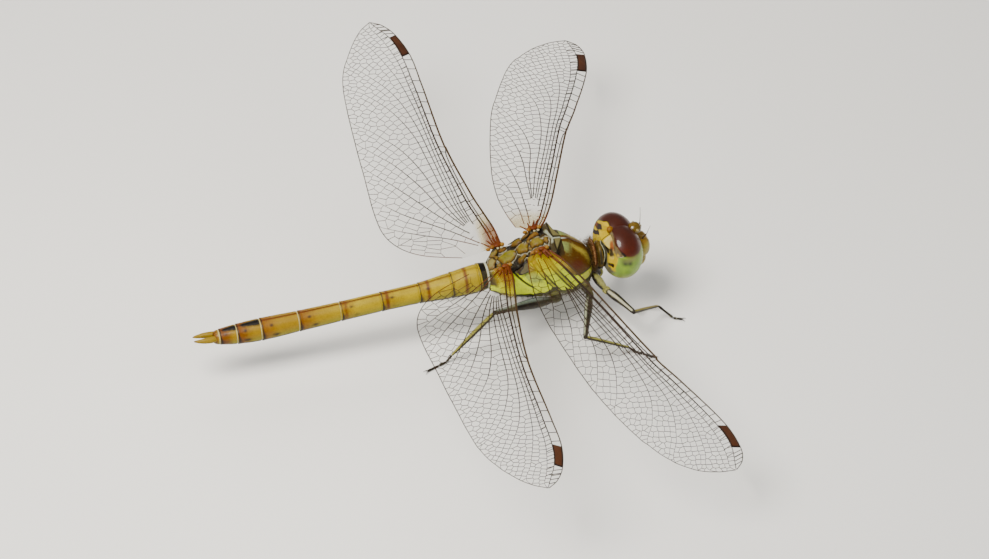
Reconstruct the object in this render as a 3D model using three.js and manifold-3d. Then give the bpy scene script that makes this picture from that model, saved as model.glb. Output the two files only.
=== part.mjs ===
// A common darter dragonfly at rest on level ground, life size, in millimetres.
// +X is forward, +Y is the animal's left and +Z is up. The feet stand on z = 0.

import * as THREE from "three";
import { mergeVertices } from "three/addons/utils/BufferGeometryUtils.js";
import Module from "manifold-3d";

const wasm = await Module();
wasm.setup();

// ---------------------------------------------------------------- sizes

const JOINT_GAP = 0.05; // clear space between neighbouring sub-parts
const CUT_CLEARANCE = 0.04; // how far a cut piece stays off the piece that cuts it
const CENTRE = [-5.9327, -0.0486]; // the point of the floor under the middle of the animal

// Head: one rounded capsule, two large eyes, the face below and in front of them.
const HEAD_CENTRE = [10.5, 0, 6.62];
const CAPSULE_RADII = [1.85, 2.72, 2.3];
const CAPSULE_OFFSET = [-0.45, 0, -0.12];
const EYE_RADII = [1.86, 1.98, 2.36];
const EYE_OFFSET = [-0.3, 1.13, 0.22];
const EYE_REAR = { forward: 8.6, height: 5.3, lean: 0.25 }; // the flat rear margin of the eyes

// Each face plate: offset from the head's centre, and its three radii.
const FACE = {
  frons: { offset: [1.5, 0, -0.12], radii: [1.02, 1.3, 0.98] },
  labrum: { offset: [1.22, 0, -1.3], radii: [0.98, 1.22, 0.8] },
  mouthparts: { offset: [0.42, 0, -1.82], radii: [1.12, 1.28, 0.72] },
  vertex: { offset: [1.2, 0, 1.72], radii: [0.62, 0.6, 0.55] },
};
const ANTENNA = { root: [1.78, 0.62, 1.05], bend: [2.05, 0.85, 1.6], tip: [2.2, 1.25, 2.75], radius: 0.25 };

// Thorax sections: distance forward, height of the top and the bottom, half width,
// and how far up the widest place lies.
const THORAX = [
  { x: 7.75, top: 6.55, bottom: 4.35, half: 0.95, belt: 0.5 },
  { x: 7.35, top: 7.3, bottom: 3.75, half: 1.5, belt: 0.48 },
  { x: 6.5, top: 8.1, bottom: 3.35, half: 1.95, belt: 0.48 },
  { x: 5.4, top: 8.82, bottom: 3.2, half: 2.18, belt: 0.5 },
  { x: 4.1, top: 8.98, bottom: 3.3, half: 2.25, belt: 0.52 },
  { x: 2.6, top: 8.8, bottom: 3.65, half: 2.2, belt: 0.54 },
  { x: 1.1, top: 8.35, bottom: 4.15, half: 2.02, belt: 0.56 },
  { x: -0.3, top: 7.85, bottom: 4.65, half: 1.68, belt: 0.56 },
  { x: -1.25, top: 7.2, bottom: 4.95, half: 1.25, belt: 0.54 },
];
const PROTHORAX = [
  { x: 8.62, top: 6.35, bottom: 4.95, half: 0.62, belt: 0.5 },
  { x: 8.35, top: 6.75, bottom: 4.0, half: 1.05, belt: 0.5 },
  { x: 8.05, top: 6.95, bottom: 3.75, half: 1.2, belt: 0.5 },
  { x: 7.7, top: 6.85, bottom: 3.85, half: 1.1, belt: 0.5 },
];

// The two plates of the back that carry the wings.
const NOTUM = {
  mesonotum: { centre: [2.7, 0, 8.52], radii: [1.7, 1.62, 0.86] },
  metanotum: { centre: [0.3, 0, 7.95], radii: [1.5, 1.46, 0.7] },
};

// Abdomen rings from the waist to the tail: where each one starts, the height of
// its middle there, its half width and half height at the start.
const ABDOMEN = [
  { name: "abdomen_1", x: -1.3, z: 6.08, half: 1.12, tall: 1.1 },
  { name: "abdomen_2", x: -2.2, z: 5.95, half: 1.2, tall: 1.24 },
  { name: "abdomen_3", x: -4.5, z: 5.66, half: 1.05, tall: 1.12 },
  { name: "abdomen_4", x: -7.2, z: 5.42, half: 0.84, tall: 0.9 },
  { name: "abdomen_5", x: -10.45, z: 5.2, half: 0.8, tall: 0.84 },
  { name: "abdomen_6", x: -14.2, z: 4.92, half: 0.8, tall: 0.85 },
  { name: "abdomen_7", x: -17.85, z: 4.66, half: 0.86, tall: 0.9 },
  { name: "abdomen_8", x: -21.15, z: 4.48, half: 0.96, tall: 0.95 },
  { name: "abdomen_9", x: -23.25, z: 4.44, half: 0.86, tall: 0.84 },
  { name: "abdomen_10", x: -24.75, z: 4.46, half: 0.68, tall: 0.64 },
  { name: "tail_end", x: -25.35, z: 4.46, half: 0.52, tall: 0.5 },
];
const RIM_FLARE = 1.04; // each ring is a little wider at its rear rim
const CERCUS = { side: 0.3, start: -25.42, end: -27.0, rise: 0.12, base: 0.26, belly: 0.3, tip: 0.25 };
const TAIL_VALVE = { length: 0.75, half: 0.3, drop: 0.52 };

// Wings: where the root lies, how the long axis is swept forward, raised and
// pitched on each side, and the edges as stations along the span.
const WING_THICKNESS = 0.5;
const WINGS = {
  fore: {
    root: [3.24, 1.6, 9.07],
    left: { sweep: 21.3, rise: -6.6, pitch: -0.3 },
    right: { sweep: 20.3, rise: -6.5, pitch: -1.1 },
    length: 28.35,
    stations: [
      { along: -0.3, lead: 0.45, trail: -1.5 },
      { along: 1.5, lead: 0.85, trail: -2.5 },
      { along: 4, lead: 1.05, trail: -3.6 },
      { along: 8, lead: 1.1, trail: -4.6 },
      { along: 14.8, lead: 1.2, trail: -5.45 },
      { along: 18, lead: 1.55, trail: -5.5 },
      { along: 23.7, lead: 1.95, trail: -4.8 },
      { along: 26.5, lead: 1.5, trail: -3.3 },
      { along: 27.8, lead: 0.7, trail: -1.7 },
      { along: 28.35, lead: -0.3, trail: -0.31 },
    ],
    stigma: { from: 23.75, to: 26.35 },
  },
  hind: {
    root: [-0.1, 1.54, 7.91],
    left: { sweep: -6.8, rise: 5.0, pitch: 5.5 },
    right: { sweep: -6.2, rise: 3.1, pitch: 5.9 },
    length: 28.5,
    stations: [
      { along: -0.3, lead: 0.35, trail: -2.9 },
      { along: 1.5, lead: 0.45, trail: -6.2 },
      { along: 3.5, lead: 0.3, trail: -7.9 },
      { along: 6, lead: 0.1, trail: -8.4 },
      { along: 12.2, lead: 0.05, trail: -7.5 },
      { along: 20, lead: 0.85, trail: -6.1 },
      { along: 23.5, lead: 1.15, trail: -5.1 },
      { along: 26.3, lead: 0.8, trail: -3.3 },
      { along: 27.8, lead: 0.1, trail: -1.9 },
      { along: 28.5, lead: -0.7, trail: -0.71 },
    ],
    stigma: { from: 23.5, to: 26.1 },
  },
};
const EDGE_STEPS = 22; // points along each edge of a wing
const STIGMA = { inset: 0.1, chord: 0.62, slant: 0.25 }; // the dark cell near the tip

// Legs: the joints of the right side and of the left, given with +Y outwards.
const LEG_SIDES = 8;
const LEGS = {
  fore: {
    radii: { coxa: 0.5, femur: 0.31, knee: 0.29, tibia: 0.25, tarsus: 0.26 },
    right: {
      coxa: [8.05, 0.6, 4.2], hip: [8.84, 0.95, 3.0], knee: [10.34, 4.9, 3.46],
      ankle: [13.15, 2.6, 1.45], pad: [14.4, 3.03, 0.22], toe: [15.05, 3.32, 0.22],
    },
    left: {
      coxa: [8.05, 0.6, 4.2], hip: [8.84, 0.95, 3.0], knee: [10.15, 4.6, 3.5],
      ankle: [11.3, 4.0, 0.95], pad: [11.8, 4.05, 0.22], toe: [13.0, 4.2, 0.22],
    },
  },
  middle: {
    radii: { coxa: 0.55, femur: 0.33, knee: 0.3, tibia: 0.25, tarsus: 0.26 },
    right: {
      coxa: [6.9, 0.7, 4.1], hip: [7.46, 1.2, 3.04], knee: [5.6, 6.6, 3.2],
      ankle: [9.6, 6.15, 0.62], pad: [10.1, 6.25, 0.22], toe: [11.5, 7.3, 0.22],
    },
    left: {
      coxa: [6.9, 0.7, 4.1], hip: [7.46, 1.2, 3.04], knee: [5.6, 6.6, 3.2],
      ankle: [9.6, 6.15, 0.62], pad: [10.1, 6.25, 0.22], toe: [11.5, 7.2, 0.22],
    },
  },
  hind: {
    radii: { coxa: 0.6, femur: 0.36, knee: 0.3, tibia: 0.25, tarsus: 0.26 },
    right: {
      coxa: [4.1, 0.8, 4.3], hip: [4.69, 1.3, 3.18], knee: [-1.44, 3.04, 4.49],
      ankle: [-5.3, 3.32, 0.68], pad: [-5.8, 3.42, 0.22], toe: [-7.6, 4.1, 0.22],
    },
    left: {
      coxa: [4.1, 0.8, 4.3], hip: [4.69, 1.3, 3.18], knee: [-1.3, 2.9, 4.25],
      ankle: [-4.8, 4.3, 0.68], pad: [-5.2, 4.45, 0.22], toe: [-6.7, 5.2, 0.22],
    },
  },
};

// ---------------------------------------------------------------- finishes

const FINISH = {
  eye_red: { color: 0x5a2418, roughness: 0.22, metalness: 0 },
  olive_yellow: { color: 0xa9a03a, roughness: 0.45, metalness: 0 },
  face_yellow: { color: 0xb59b3a, roughness: 0.42, metalness: 0 },
  amber_brown: { color: 0x8c5a22, roughness: 0.4, metalness: 0 },
  thorax_green: { color: 0xa6aa3c, roughness: 0.5, metalness: 0 },
  abdomen_olive: { color: 0xa58f3a, roughness: 0.45, metalness: 0 },
  leg_black: { color: 0x24221c, roughness: 0.4, metalness: 0 },
  wing_clear: { color: 0xd9d2b8, roughness: 0.2, metalness: 0, transparent: true, opacity: 0.35 },
  stigma_brown: { color: 0x5e3a1c, roughness: 0.35, metalness: 0 },
  cercus_yellow: { color: 0xcdb768, roughness: 0.45, metalness: 0 },
};

// ---------------------------------------------------------------- shape helpers

const vec = (p) => new THREE.Vector3(p[0], p[1], p[2]);

// A joint of the left side (side 1) or, mirrored, of the right side (side -1).
const onSide = (p, side) => new THREE.Vector3(p[0], p[1] * side, p[2]);

// A closed solid through rings of equal count, each end closed by a fan.
function loft(rings) {
  const count = rings[0].length;
  const points = rings.flat();
  const faces = [];
  for (let r = 0; r + 1 < rings.length; r += 1) {
    for (let i = 0; i < count; i += 1) {
      const j = (i + 1) % count;
      const a = r * count + i;
      const b = r * count + j;
      const c = (r + 1) * count + i;
      const d = (r + 1) * count + j;
      faces.push(a, b, d, a, d, c);
    }
  }
  const last = (rings.length - 1) * count;
  for (let i = 1; i + 1 < count; i += 1) {
    faces.push(0, i + 1, i);
    faces.push(last, last + i, last + i + 1);
  }
  return facingOut(indexed(points, faces));
}

function indexed(points, faces) {
  const geometry = new THREE.BufferGeometry();
  geometry.setAttribute("position", new THREE.Float32BufferAttribute(points.flatMap((p) => [p.x, p.y, p.z]), 3));
  geometry.setIndex(faces);
  return geometry;
}

// Turns the faces round where the solid would otherwise be inside out.
function facingOut(geometry) {
  const position = geometry.getAttribute("position");
  const index = geometry.index.array;
  const at = (i) => new THREE.Vector3().fromBufferAttribute(position, index[i]);
  let volume = 0;
  for (let i = 0; i < index.length; i += 3) {
    volume += at(i).dot(at(i + 1).cross(at(i + 2)));
  }
  if (volume < 0) {
    for (let i = 0; i < index.length; i += 3) {
      [index[i + 1], index[i + 2]] = [index[i + 2], index[i + 1]];
    }
  }
  return geometry;
}

// A cross-section of the body at one distance forward: round above and below its
// widest place, which lies at the share `belt` of its height.
function bodyRing({ x, top, bottom, half, belt }, count, swell = 0) {
  const middle = bottom + (top - bottom) * belt;
  const ring = [];
  for (let i = 0; i < count; i += 1) {
    const angle = (2 * Math.PI * i) / count;
    const across = Math.cos(angle);
    const up = Math.sin(angle);
    const reach = (up > 0 ? top - middle : middle - bottom) + swell;
    ring.push(new THREE.Vector3(x, (half + swell) * rounded(across, 0.9), middle + reach * rounded(up, 0.95)));
  }
  return ring;
}

const rounded = (value, power) => Math.sign(value) * Math.abs(value) ** power;

// A tapering round bar along a line of points.
function bar(points, radii, sides) {
  const rings = points.map((point, i) => {
    const before = points[Math.max(i - 1, 0)];
    const after = points[Math.min(i + 1, points.length - 1)];
    const along = after.clone().sub(before).normalize();
    const side = new THREE.Vector3(0, 0, 1).cross(along).normalize();
    const up = along.clone().cross(side);
    return Array.from({ length: sides }, (_, k) => {
      const angle = (2 * Math.PI * (k + 0.5)) / sides;
      return point
        .clone()
        .addScaledVector(side, radii[i] * Math.cos(angle))
        .addScaledVector(up, radii[i] * Math.sin(angle));
    });
  });
  return loft(rings);
}

function ellipsoid(centre, radii, across = 24, down = 14, swell = 0) {
  return new THREE.SphereGeometry(1, across, down)
    .rotateX(Math.PI / 2)
    .scale(radii[0] + swell, radii[1] + swell, radii[2] + swell)
    .translate(centre[0], centre[1], centre[2]);
}

function box(min, max) {
  const size = vec(max).sub(vec(min));
  const middle = vec(max).add(vec(min)).multiplyScalar(0.5);
  return new THREE.BoxGeometry(size.x, size.y, size.z).translate(middle.x, middle.y, middle.z);
}

const sum = (a, b) => a.map((value, i) => value + b[i]);

// ---------------------------------------------------------------- joining and cutting

function toSolid(geometry) {
  const bare = new THREE.BufferGeometry();
  bare.setAttribute("position", geometry.getAttribute("position"));
  bare.setIndex(geometry.index);
  const merged = mergeVertices(bare, 1e-4);
  return new wasm.Manifold(
    new wasm.Mesh({
      numProp: 3,
      vertProperties: new Float32Array(merged.getAttribute("position").array),
      triVerts: new Uint32Array(merged.index.array),
    }),
  );
}

function toGeometry(solid) {
  const mesh = solid.getMesh();
  const geometry = new THREE.BufferGeometry();
  geometry.setAttribute("position", new THREE.BufferAttribute(new Float32Array(mesh.vertProperties), 3));
  geometry.setIndex(new THREE.BufferAttribute(new Uint32Array(mesh.triVerts), 1));
  return geometry;
}

const cut = (body, ...tools) => toGeometry(tools.reduce((left, tool) => left.subtract(toSolid(tool)), toSolid(body)));
const join = (body, ...others) => toGeometry(others.reduce((whole, other) => whole.add(toSolid(other)), toSolid(body)));
const keepInside = (body, space) => toGeometry(toSolid(body).intersect(toSolid(space)));

// ---------------------------------------------------------------- assembly

const darter = new THREE.Group();
darter.name = "common_darter";
darter.position.set(-CENTRE[0], -CENTRE[1], 0);

const materials = Object.fromEntries(
  Object.entries(FINISH).map(([name, look]) => [name, new THREE.MeshStandardMaterial({ name, ...look })]),
);

function add(name, geometry, finish) {
  const mesh = new THREE.Mesh(geometry, materials[finish]);
  mesh.name = name;
  darter.add(mesh);
  return mesh;
}

// ---------------------------------------------------------------- thorax

const synthorax = (swell = 0) => loft(THORAX.map((section) => bodyRing(section, 20, swell)));
const prothorax = (swell = 0) => loft(PROTHORAX.map((section) => bodyRing(section, 16, swell)));

// The stub of a leg that grows out of the underside of the body.
function coxa(pair, side, swell = 0) {
  const { radii, [side > 0 ? "left" : "right"]: joints } = LEGS[pair];
  const from = onSide(joints.coxa, side);
  const to = onSide(joints.hip, side);
  return bar([from, to], [radii.coxa + swell, radii.femur + 0.08 + swell], LEG_SIDES);
}

const synthoraxBody = join(
  synthorax(),
  coxa("middle", 1),
  coxa("middle", -1),
  coxa("hind", 1),
  coxa("hind", -1),
);
const prothoraxBody = cut(
  join(prothorax(), coxa("fore", 1), coxa("fore", -1)),
  synthorax(CUT_CLEARANCE),
  coxa("middle", 1, CUT_CLEARANCE),
  coxa("middle", -1, CUT_CLEARANCE),
);
add("synthorax", synthoraxBody, "thorax_green");
const backPlate = ({ centre, radii }, swell = 0) => ellipsoid(centre, radii, 18, 8, swell);
add("mesonotum", cut(backPlate(NOTUM.mesonotum), synthorax(CUT_CLEARANCE)), "amber_brown");
add(
  "metanotum",
  cut(backPlate(NOTUM.metanotum), synthorax(CUT_CLEARANCE), backPlate(NOTUM.mesonotum, CUT_CLEARANCE)),
  "amber_brown",
);

// ---------------------------------------------------------------- head

const headPoint = (offset) => sum(HEAD_CENTRE, offset);
const capsule = (swell = 0) => ellipsoid(headPoint(CAPSULE_OFFSET), CAPSULE_RADII, 20, 14, swell);

function eye(side, swell = 0) {
  return new THREE.SphereGeometry(1, 22, 14)
    .scale(EYE_RADII[0] + swell, EYE_RADII[1] + swell, EYE_RADII[2] + swell)
    .translate(...headPoint([EYE_OFFSET[0], EYE_OFFSET[1] * side, EYE_OFFSET[2]]));
}

// Everything on one side of the head's middle plane.
function halfSpace(side) {
  const near = JOINT_GAP / 2;
  return side > 0 ? box([0, near, -5], [20, 10, 20]) : box([0, -10, -5], [20, -near, 20]);
}

// Everything behind the rear margin of the eyes, which leans forward at the top.
function behindEyes() {
  const { forward, height, lean } = EYE_REAR;
  const block = box([-10, -10, -15], [0, 10, 15]);
  return block.rotateY(Math.atan(lean)).translate(forward, 0, height);
}

function facePlate(name, swell = 0) {
  const { offset, radii } = FACE[name];
  return ellipsoid(headPoint(offset), radii, 16, 9, swell);
}

const neckCutters = [prothorax(CUT_CLEARANCE), synthorax(CUT_CLEARANCE)];
add("head", cut(capsule(), ...neckCutters), "olive_yellow");
add("vertex", cut(facePlate("vertex"), capsule(CUT_CLEARANCE)), "amber_brown");
for (const [side, name] of [[1, "eye_left"], [-1, "eye_right"]]) {
  const ball = cut(keepInside(eye(side), halfSpace(side)), behindEyes());
  add(name, cut(ball, capsule(CUT_CLEARANCE), facePlate("vertex", CUT_CLEARANCE)), "eye_red");
}
const eyes = [eye(1, CUT_CLEARANCE), eye(-1, CUT_CLEARANCE)];
add("frons", cut(facePlate("frons"), capsule(CUT_CLEARANCE), ...eyes), "face_yellow");
add(
  "labrum",
  cut(facePlate("labrum"), capsule(CUT_CLEARANCE), facePlate("frons", CUT_CLEARANCE), ...eyes),
  "face_yellow",
);
add(
  "mouthparts",
  cut(facePlate("mouthparts"), capsule(CUT_CLEARANCE), facePlate("labrum", CUT_CLEARANCE), ...eyes),
  "face_yellow",
);
for (const [side, name] of [[1, "antenna_left"], [-1, "antenna_right"]]) {
  const points = [ANTENNA.root, ANTENNA.bend, ANTENNA.tip].map((p) => onSide(headPoint(p), side));
  const whole = bar(points, [ANTENNA.radius, ANTENNA.radius, ANTENNA.radius], 8);
  add(name, cut(whole, facePlate("frons", CUT_CLEARANCE), facePlate("vertex", CUT_CLEARANCE), ...eyes), "leg_black");
}
add("prothorax", prothoraxBody, "amber_brown");

// ---------------------------------------------------------------- abdomen

// A ring of the abdomen: a rounded ridge above, full sides and a flatter belly.
function abdomenRing(x, z, half, tall) {
  return Array.from({ length: 16 }, (_, i) => {
    const angle = (2 * Math.PI * i) / 16;
    const up = Math.sin(angle);
    const height = up > 0 ? tall * 1.04 * up : tall * 0.96 * rounded(up, 0.8);
    return new THREE.Vector3(x, half * rounded(Math.cos(angle), 0.92), z + height);
  });
}

for (let i = 0; i + 1 < ABDOMEN.length; i += 1) {
  const front = ABDOMEN[i];
  const rear = ABDOMEN[i + 1];
  const between = (share, flare) => {
    const mix = (key) => front[key] + (rear[key] - front[key]) * share;
    return abdomenRing(mix("x"), mix("z"), mix("half") * flare, mix("tall") * flare);
  };
  const gap = JOINT_GAP / (front.x - rear.x);
  const rings = [between(gap, 0.97), between(0.2, 1), between(0.8, 1.01), between(1, RIM_FLARE)];
  add(front.name, loft(rings), "abdomen_olive");
}

const tail = ABDOMEN[ABDOMEN.length - 1];
for (const [side, name] of [[1, "cercus_left"], [-1, "cercus_right"]]) {
  const at = (share, lift) =>
    new THREE.Vector3(
      CERCUS.start + (CERCUS.end - CERCUS.start) * share,
      side * (CERCUS.side + 0.04 * share),
      tail.z + 0.14 + lift,
    );
  const points = [at(0, 0), at(0.35, CERCUS.rise * 0.6), at(1, CERCUS.rise)];
  add(name, bar(points, [CERCUS.base, CERCUS.belly - 0.02, CERCUS.tip], 10), "cercus_yellow");
}
const valveFrom = new THREE.Vector3(CERCUS.start, 0, tail.z - TAIL_VALVE.drop + 0.14);
const valveTo = valveFrom.clone().add(new THREE.Vector3(-TAIL_VALVE.length, 0, 0.04));
add("tail_valve", bar([valveFrom, valveTo], [TAIL_VALVE.half, 0.25], 10), "amber_brown");

// ---------------------------------------------------------------- wings

// The value of one edge at a distance along the span, eased between stations.
function edgeAt(stations, key, along) {
  const last = stations.length - 1;
  let i = 0;
  while (i < last - 1 && stations[i + 1].along < along) {
    i += 1;
  }
  const slope = (k) => {
    const a = stations[Math.max(k - 1, 0)];
    const b = stations[Math.min(k + 1, last)];
    return (b[key] - a[key]) / (b.along - a.along);
  };
  const from = stations[i];
  const to = stations[i + 1];
  const span = to.along - from.along;
  const t = (along - from.along) / span;
  const h00 = (1 + 2 * t) * (1 - t) * (1 - t);
  const h10 = t * (1 - t) * (1 - t);
  const h01 = t * t * (3 - 2 * t);
  const h11 = t * t * (t - 1);
  return h00 * from[key] + h10 * span * slope(i) + h01 * to[key] + h11 * span * slope(i + 1);
}

// The plan of a wing, span along x and chord along y. Points crowd at the tip.
function wingPlan({ stations, length }) {
  const start = stations[0].along;
  const reach = length - start;
  const along = Array.from(
    { length: EDGE_STEPS + 1 },
    (_, i) => start + reach * Math.sin((Math.PI / 2) * (i / EDGE_STEPS)),
  );
  const lead = along.map((u) => new THREE.Vector2(u, edgeAt(stations, "lead", u)));
  const trail = along.slice(0, -1).map((u) => new THREE.Vector2(u, edgeAt(stations, "trail", u)));
  return new THREE.Shape([...lead, ...trail.reverse()]);
}

// The dark cell behind the front edge: a slanted four-sided plate.
function stigmaPlan({ stations, stigma }, swell = 0) {
  const corner = (along, row) => {
    const edge = edgeAt(stations, "lead", along) - STIGMA.inset;
    return new THREE.Vector2(along, edge - row * STIGMA.chord + (row ? -swell : swell));
  };
  const { from, to } = stigma;
  return new THREE.Shape([
    corner(from - swell, 0),
    corner((from + to) / 2, 0),
    corner(to + swell, 0),
    corner(to + swell - STIGMA.slant, 1),
    corner((from + to) / 2, 1),
    corner(from - swell + STIGMA.slant, 1),
  ]);
}

const plate = (plan, depth) =>
  new THREE.ExtrudeGeometry(plan, { depth, bevelEnabled: false }).translate(0, 0, -depth / 2);

function addWing(name, wing, side) {
  const { sweep, rise, pitch } = side > 0 ? wing.left : wing.right;
  const [s, r, p] = [sweep, rise, pitch].map(THREE.MathUtils.degToRad);
  const span = new THREE.Vector3(Math.sin(s) * Math.cos(r), Math.cos(s) * Math.cos(r), Math.sin(r));
  const level = new THREE.Vector3(Math.cos(s), -Math.sin(s), 0);
  const up = level.clone().cross(span);
  const chord = level.multiplyScalar(Math.cos(p)).addScaledVector(up, Math.sin(p));
  span.y *= side;
  chord.y *= side;
  const hold = new THREE.Matrix4()
    .makeBasis(span, chord, span.clone().cross(chord))
    .setPosition(onSide(wing.root, side));
  const place = (mesh) => mesh.applyMatrix4(hold);

  // The wing is cut free of the back in the wing's own frame, then put in place.
  const toWing = hold.clone().invert();
  const back = Object.values(NOTUM).map((shape) => backPlate(shape, CUT_CLEARANCE).applyMatrix4(toWing));
  const cell = plate(stigmaPlan(wing, CUT_CLEARANCE), 2 * WING_THICKNESS);
  const blade = plate(wingPlan(wing), WING_THICKNESS);
  place(add(name, cut(blade, cell, ...back), "wing_clear"));
  place(add(name.replace("wing", "wing_stigma"), plate(stigmaPlan(wing), WING_THICKNESS), "stigma_brown"));
}

for (const [side, word] of [[1, "left"], [-1, "right"]]) {
  addWing(`forewing_${word}`, WINGS.fore, side);
  addWing(`hindwing_${word}`, WINGS.hind, side);
}

// ---------------------------------------------------------------- legs

const aboveFloor = box([-60, -60, 0], [60, 60, 60]);

function addLeg(pair, side) {
  const word = side > 0 ? "left" : "right";
  const { radii, [word]: joints } = LEGS[pair];
  const [hip, knee, ankle, pad, toe] = ["hip", "knee", "ankle", "pad", "toe"].map((key) => onSide(joints[key], side));
  const along = (from, to, distance) => from.clone().addScaledVector(to.clone().sub(from).normalize(), distance);
  const midway = (from, to, share) => from.clone().lerp(to, share);

  const femur = (swell) => {
    const start = along(hip, knee, JOINT_GAP);
    const end = along(knee, hip, -radii.knee * 0.5);
    const sizes = [radii.femur, radii.femur + 0.04, radii.knee].map((r) => r + swell);
    return bar([start, midway(start, end, 0.4), end], sizes, LEG_SIDES);
  };
  const tibia = (swell) => {
    const start = along(knee, ankle, radii.knee * 0.3);
    const end = along(ankle, knee, JOINT_GAP);
    return bar([start, end], [radii.tibia + 0.02 + swell, radii.tibia + swell], LEG_SIDES);
  };
  const tarsus = bar([ankle, pad, toe], [radii.tarsus, radii.tarsus, radii.tarsus], LEG_SIDES);
  add(`femur_${pair}_${word}`, cut(femur(0), coxa(pair, side, CUT_CLEARANCE)), "leg_black");
  add(`tibia_${pair}_${word}`, cut(tibia(0), femur(CUT_CLEARANCE)), "leg_black");
  add(`tarsus_${pair}_${word}`, keepInside(cut(tarsus, tibia(CUT_CLEARANCE)), aboveFloor), "leg_black");
}

for (const pair of Object.keys(LEGS)) {
  addLeg(pair, 1);
  addLeg(pair, -1);
}

export default darter;
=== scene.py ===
import logging
import math
from dataclasses import dataclass, field
from enum import Enum
from typing import Callable, Iterable, Optional, Sequence

import bpy
import numpy as np
from mathutils import Matrix, Vector
from mathutils.geometry import delaunay_2d_cdt


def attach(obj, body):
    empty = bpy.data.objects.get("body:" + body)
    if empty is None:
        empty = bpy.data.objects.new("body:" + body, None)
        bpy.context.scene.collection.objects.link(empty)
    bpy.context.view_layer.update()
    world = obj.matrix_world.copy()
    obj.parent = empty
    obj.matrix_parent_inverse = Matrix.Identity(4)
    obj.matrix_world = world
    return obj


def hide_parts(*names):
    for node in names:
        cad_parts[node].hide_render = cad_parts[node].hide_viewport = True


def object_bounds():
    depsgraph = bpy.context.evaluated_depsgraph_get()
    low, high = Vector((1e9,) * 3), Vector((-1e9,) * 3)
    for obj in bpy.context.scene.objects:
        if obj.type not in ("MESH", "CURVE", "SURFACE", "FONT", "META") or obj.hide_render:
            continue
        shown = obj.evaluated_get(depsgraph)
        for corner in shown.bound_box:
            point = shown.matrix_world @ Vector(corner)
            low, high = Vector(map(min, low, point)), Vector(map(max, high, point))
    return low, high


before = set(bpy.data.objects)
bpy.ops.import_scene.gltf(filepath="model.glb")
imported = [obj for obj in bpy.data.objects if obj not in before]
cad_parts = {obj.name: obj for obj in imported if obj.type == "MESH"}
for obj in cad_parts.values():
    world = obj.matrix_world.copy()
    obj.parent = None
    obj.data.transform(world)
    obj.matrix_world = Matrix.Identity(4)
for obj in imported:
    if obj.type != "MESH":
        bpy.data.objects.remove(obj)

log = logging.getLogger("darter")
MM = 0.001
CAD_BOX = [list(corner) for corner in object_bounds()]
# The middle of the solids' box, in the animal's own measure (millimetres, the floor at 0).
BODY_MIDDLE = np.array([-5.9327, -0.0486, 0.0])
SHIFT = np.array([
    (CAD_BOX[0][0] + CAD_BOX[1][0]) / 2 / MM - BODY_MIDDLE[0],
    (CAD_BOX[0][1] + CAD_BOX[1][1]) / 2 / MM - BODY_MIDDLE[1],
    CAD_BOX[0][2] / MM,
])

Array = np.ndarray
Socket, Material = bpy.types.NodeSocket, bpy.types.Material
# Fine grain of the finishes, in lumps to the metre: eye lenses, pits, light and dark grain, ragged edges.
LENSES, PITS, GRAIN, RAGS = 26000, 11000, 9000, 5200


class Side(Enum):
    """The animal's two sides, as the sign of Y."""

    LEFT = 1
    RIGHT = -1

    @property
    def word(self) -> str:
        """The side's name in lower case."""
        return self.name.lower()


# ---- numbers


def ease(low: float, high: float, value: Array) -> Array:
    """Eased rise from 0 at low to 1 at high: t squared times (3 minus 2t).

    Args:
        low: where the rise starts.
        high: where it ends; less than low gives a fall.
        value: the numbers to ease.

    Returns:
        Numbers from 0 to 1, one for each value.
    """
    t = np.clip((value - low) / (high - low), 0, 1)
    return t * t * (3 - 2 * t)


def bell(value: Array, middle: float, width: float) -> Array:
    """Bell curve of height 1: e to the minus ((value - middle) / width) squared."""
    return np.exp(-(((value - middle) / width) ** 2))


def through(places: Sequence[float], heights: Sequence[float], at: Array) -> Array:
    """Smooth curve through a few points, a cubic between each two with the slope of its neighbours.

    Args:
        places: rising positions of the points.
        heights: the curve's value at each.
        at: where to read the curve.

    Returns:
        The curve's value at each place asked for.
    """
    x, y = np.asarray(places, float), np.asarray(heights, float)
    slope = np.empty_like(y)
    slope[1:-1] = (y[2:] - y[:-2]) / (x[2:] - x[:-2])
    slope[0], slope[-1] = (y[1] - y[0]) / (x[1] - x[0]), (y[-1] - y[-2]) / (x[-1] - x[-2])
    at = np.clip(at, x[0], x[-1])
    i = np.clip(np.searchsorted(x, at, side="right") - 1, 0, len(x) - 2)
    span = x[i + 1] - x[i]
    t = (at - x[i]) / span
    return (
        (1 + 2 * t) * (1 - t) ** 2 * y[i]
        + t * (1 - t) ** 2 * span * slope[i]
        + t * t * (3 - 2 * t) * y[i + 1]
        + t * t * (t - 1) * span * slope[i + 1]
    )


def circle(count: int) -> Array:
    """That many even angles of a full turn."""
    return np.linspace(0, 2 * math.pi, count, endpoint=False)


def cos_sin(degrees: float) -> tuple[float, float]:
    """The cosine and sine of an angle in degrees."""
    return math.cos(math.radians(degrees)), math.sin(math.radians(degrees))


def power_sign(value: Array, power: float) -> Array:
    """The value's size raised to a power, with its sign kept."""
    return np.sign(value) * np.abs(value) ** power


def unit(vectors: Array) -> Array:
    """Each vector divided by its length."""
    return vectors / np.maximum(np.linalg.norm(vectors, axis=-1, keepdims=True), 1e-12)


def spokes(side: Array, up: Array, angles: Array) -> Array:
    """Directions round a bar at each angle: side cos a + up sin a."""
    return side[:, None] * np.cos(angles)[None, :, None] + up[:, None] * np.sin(angles)[None, :, None]


# ---- surfaces


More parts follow.
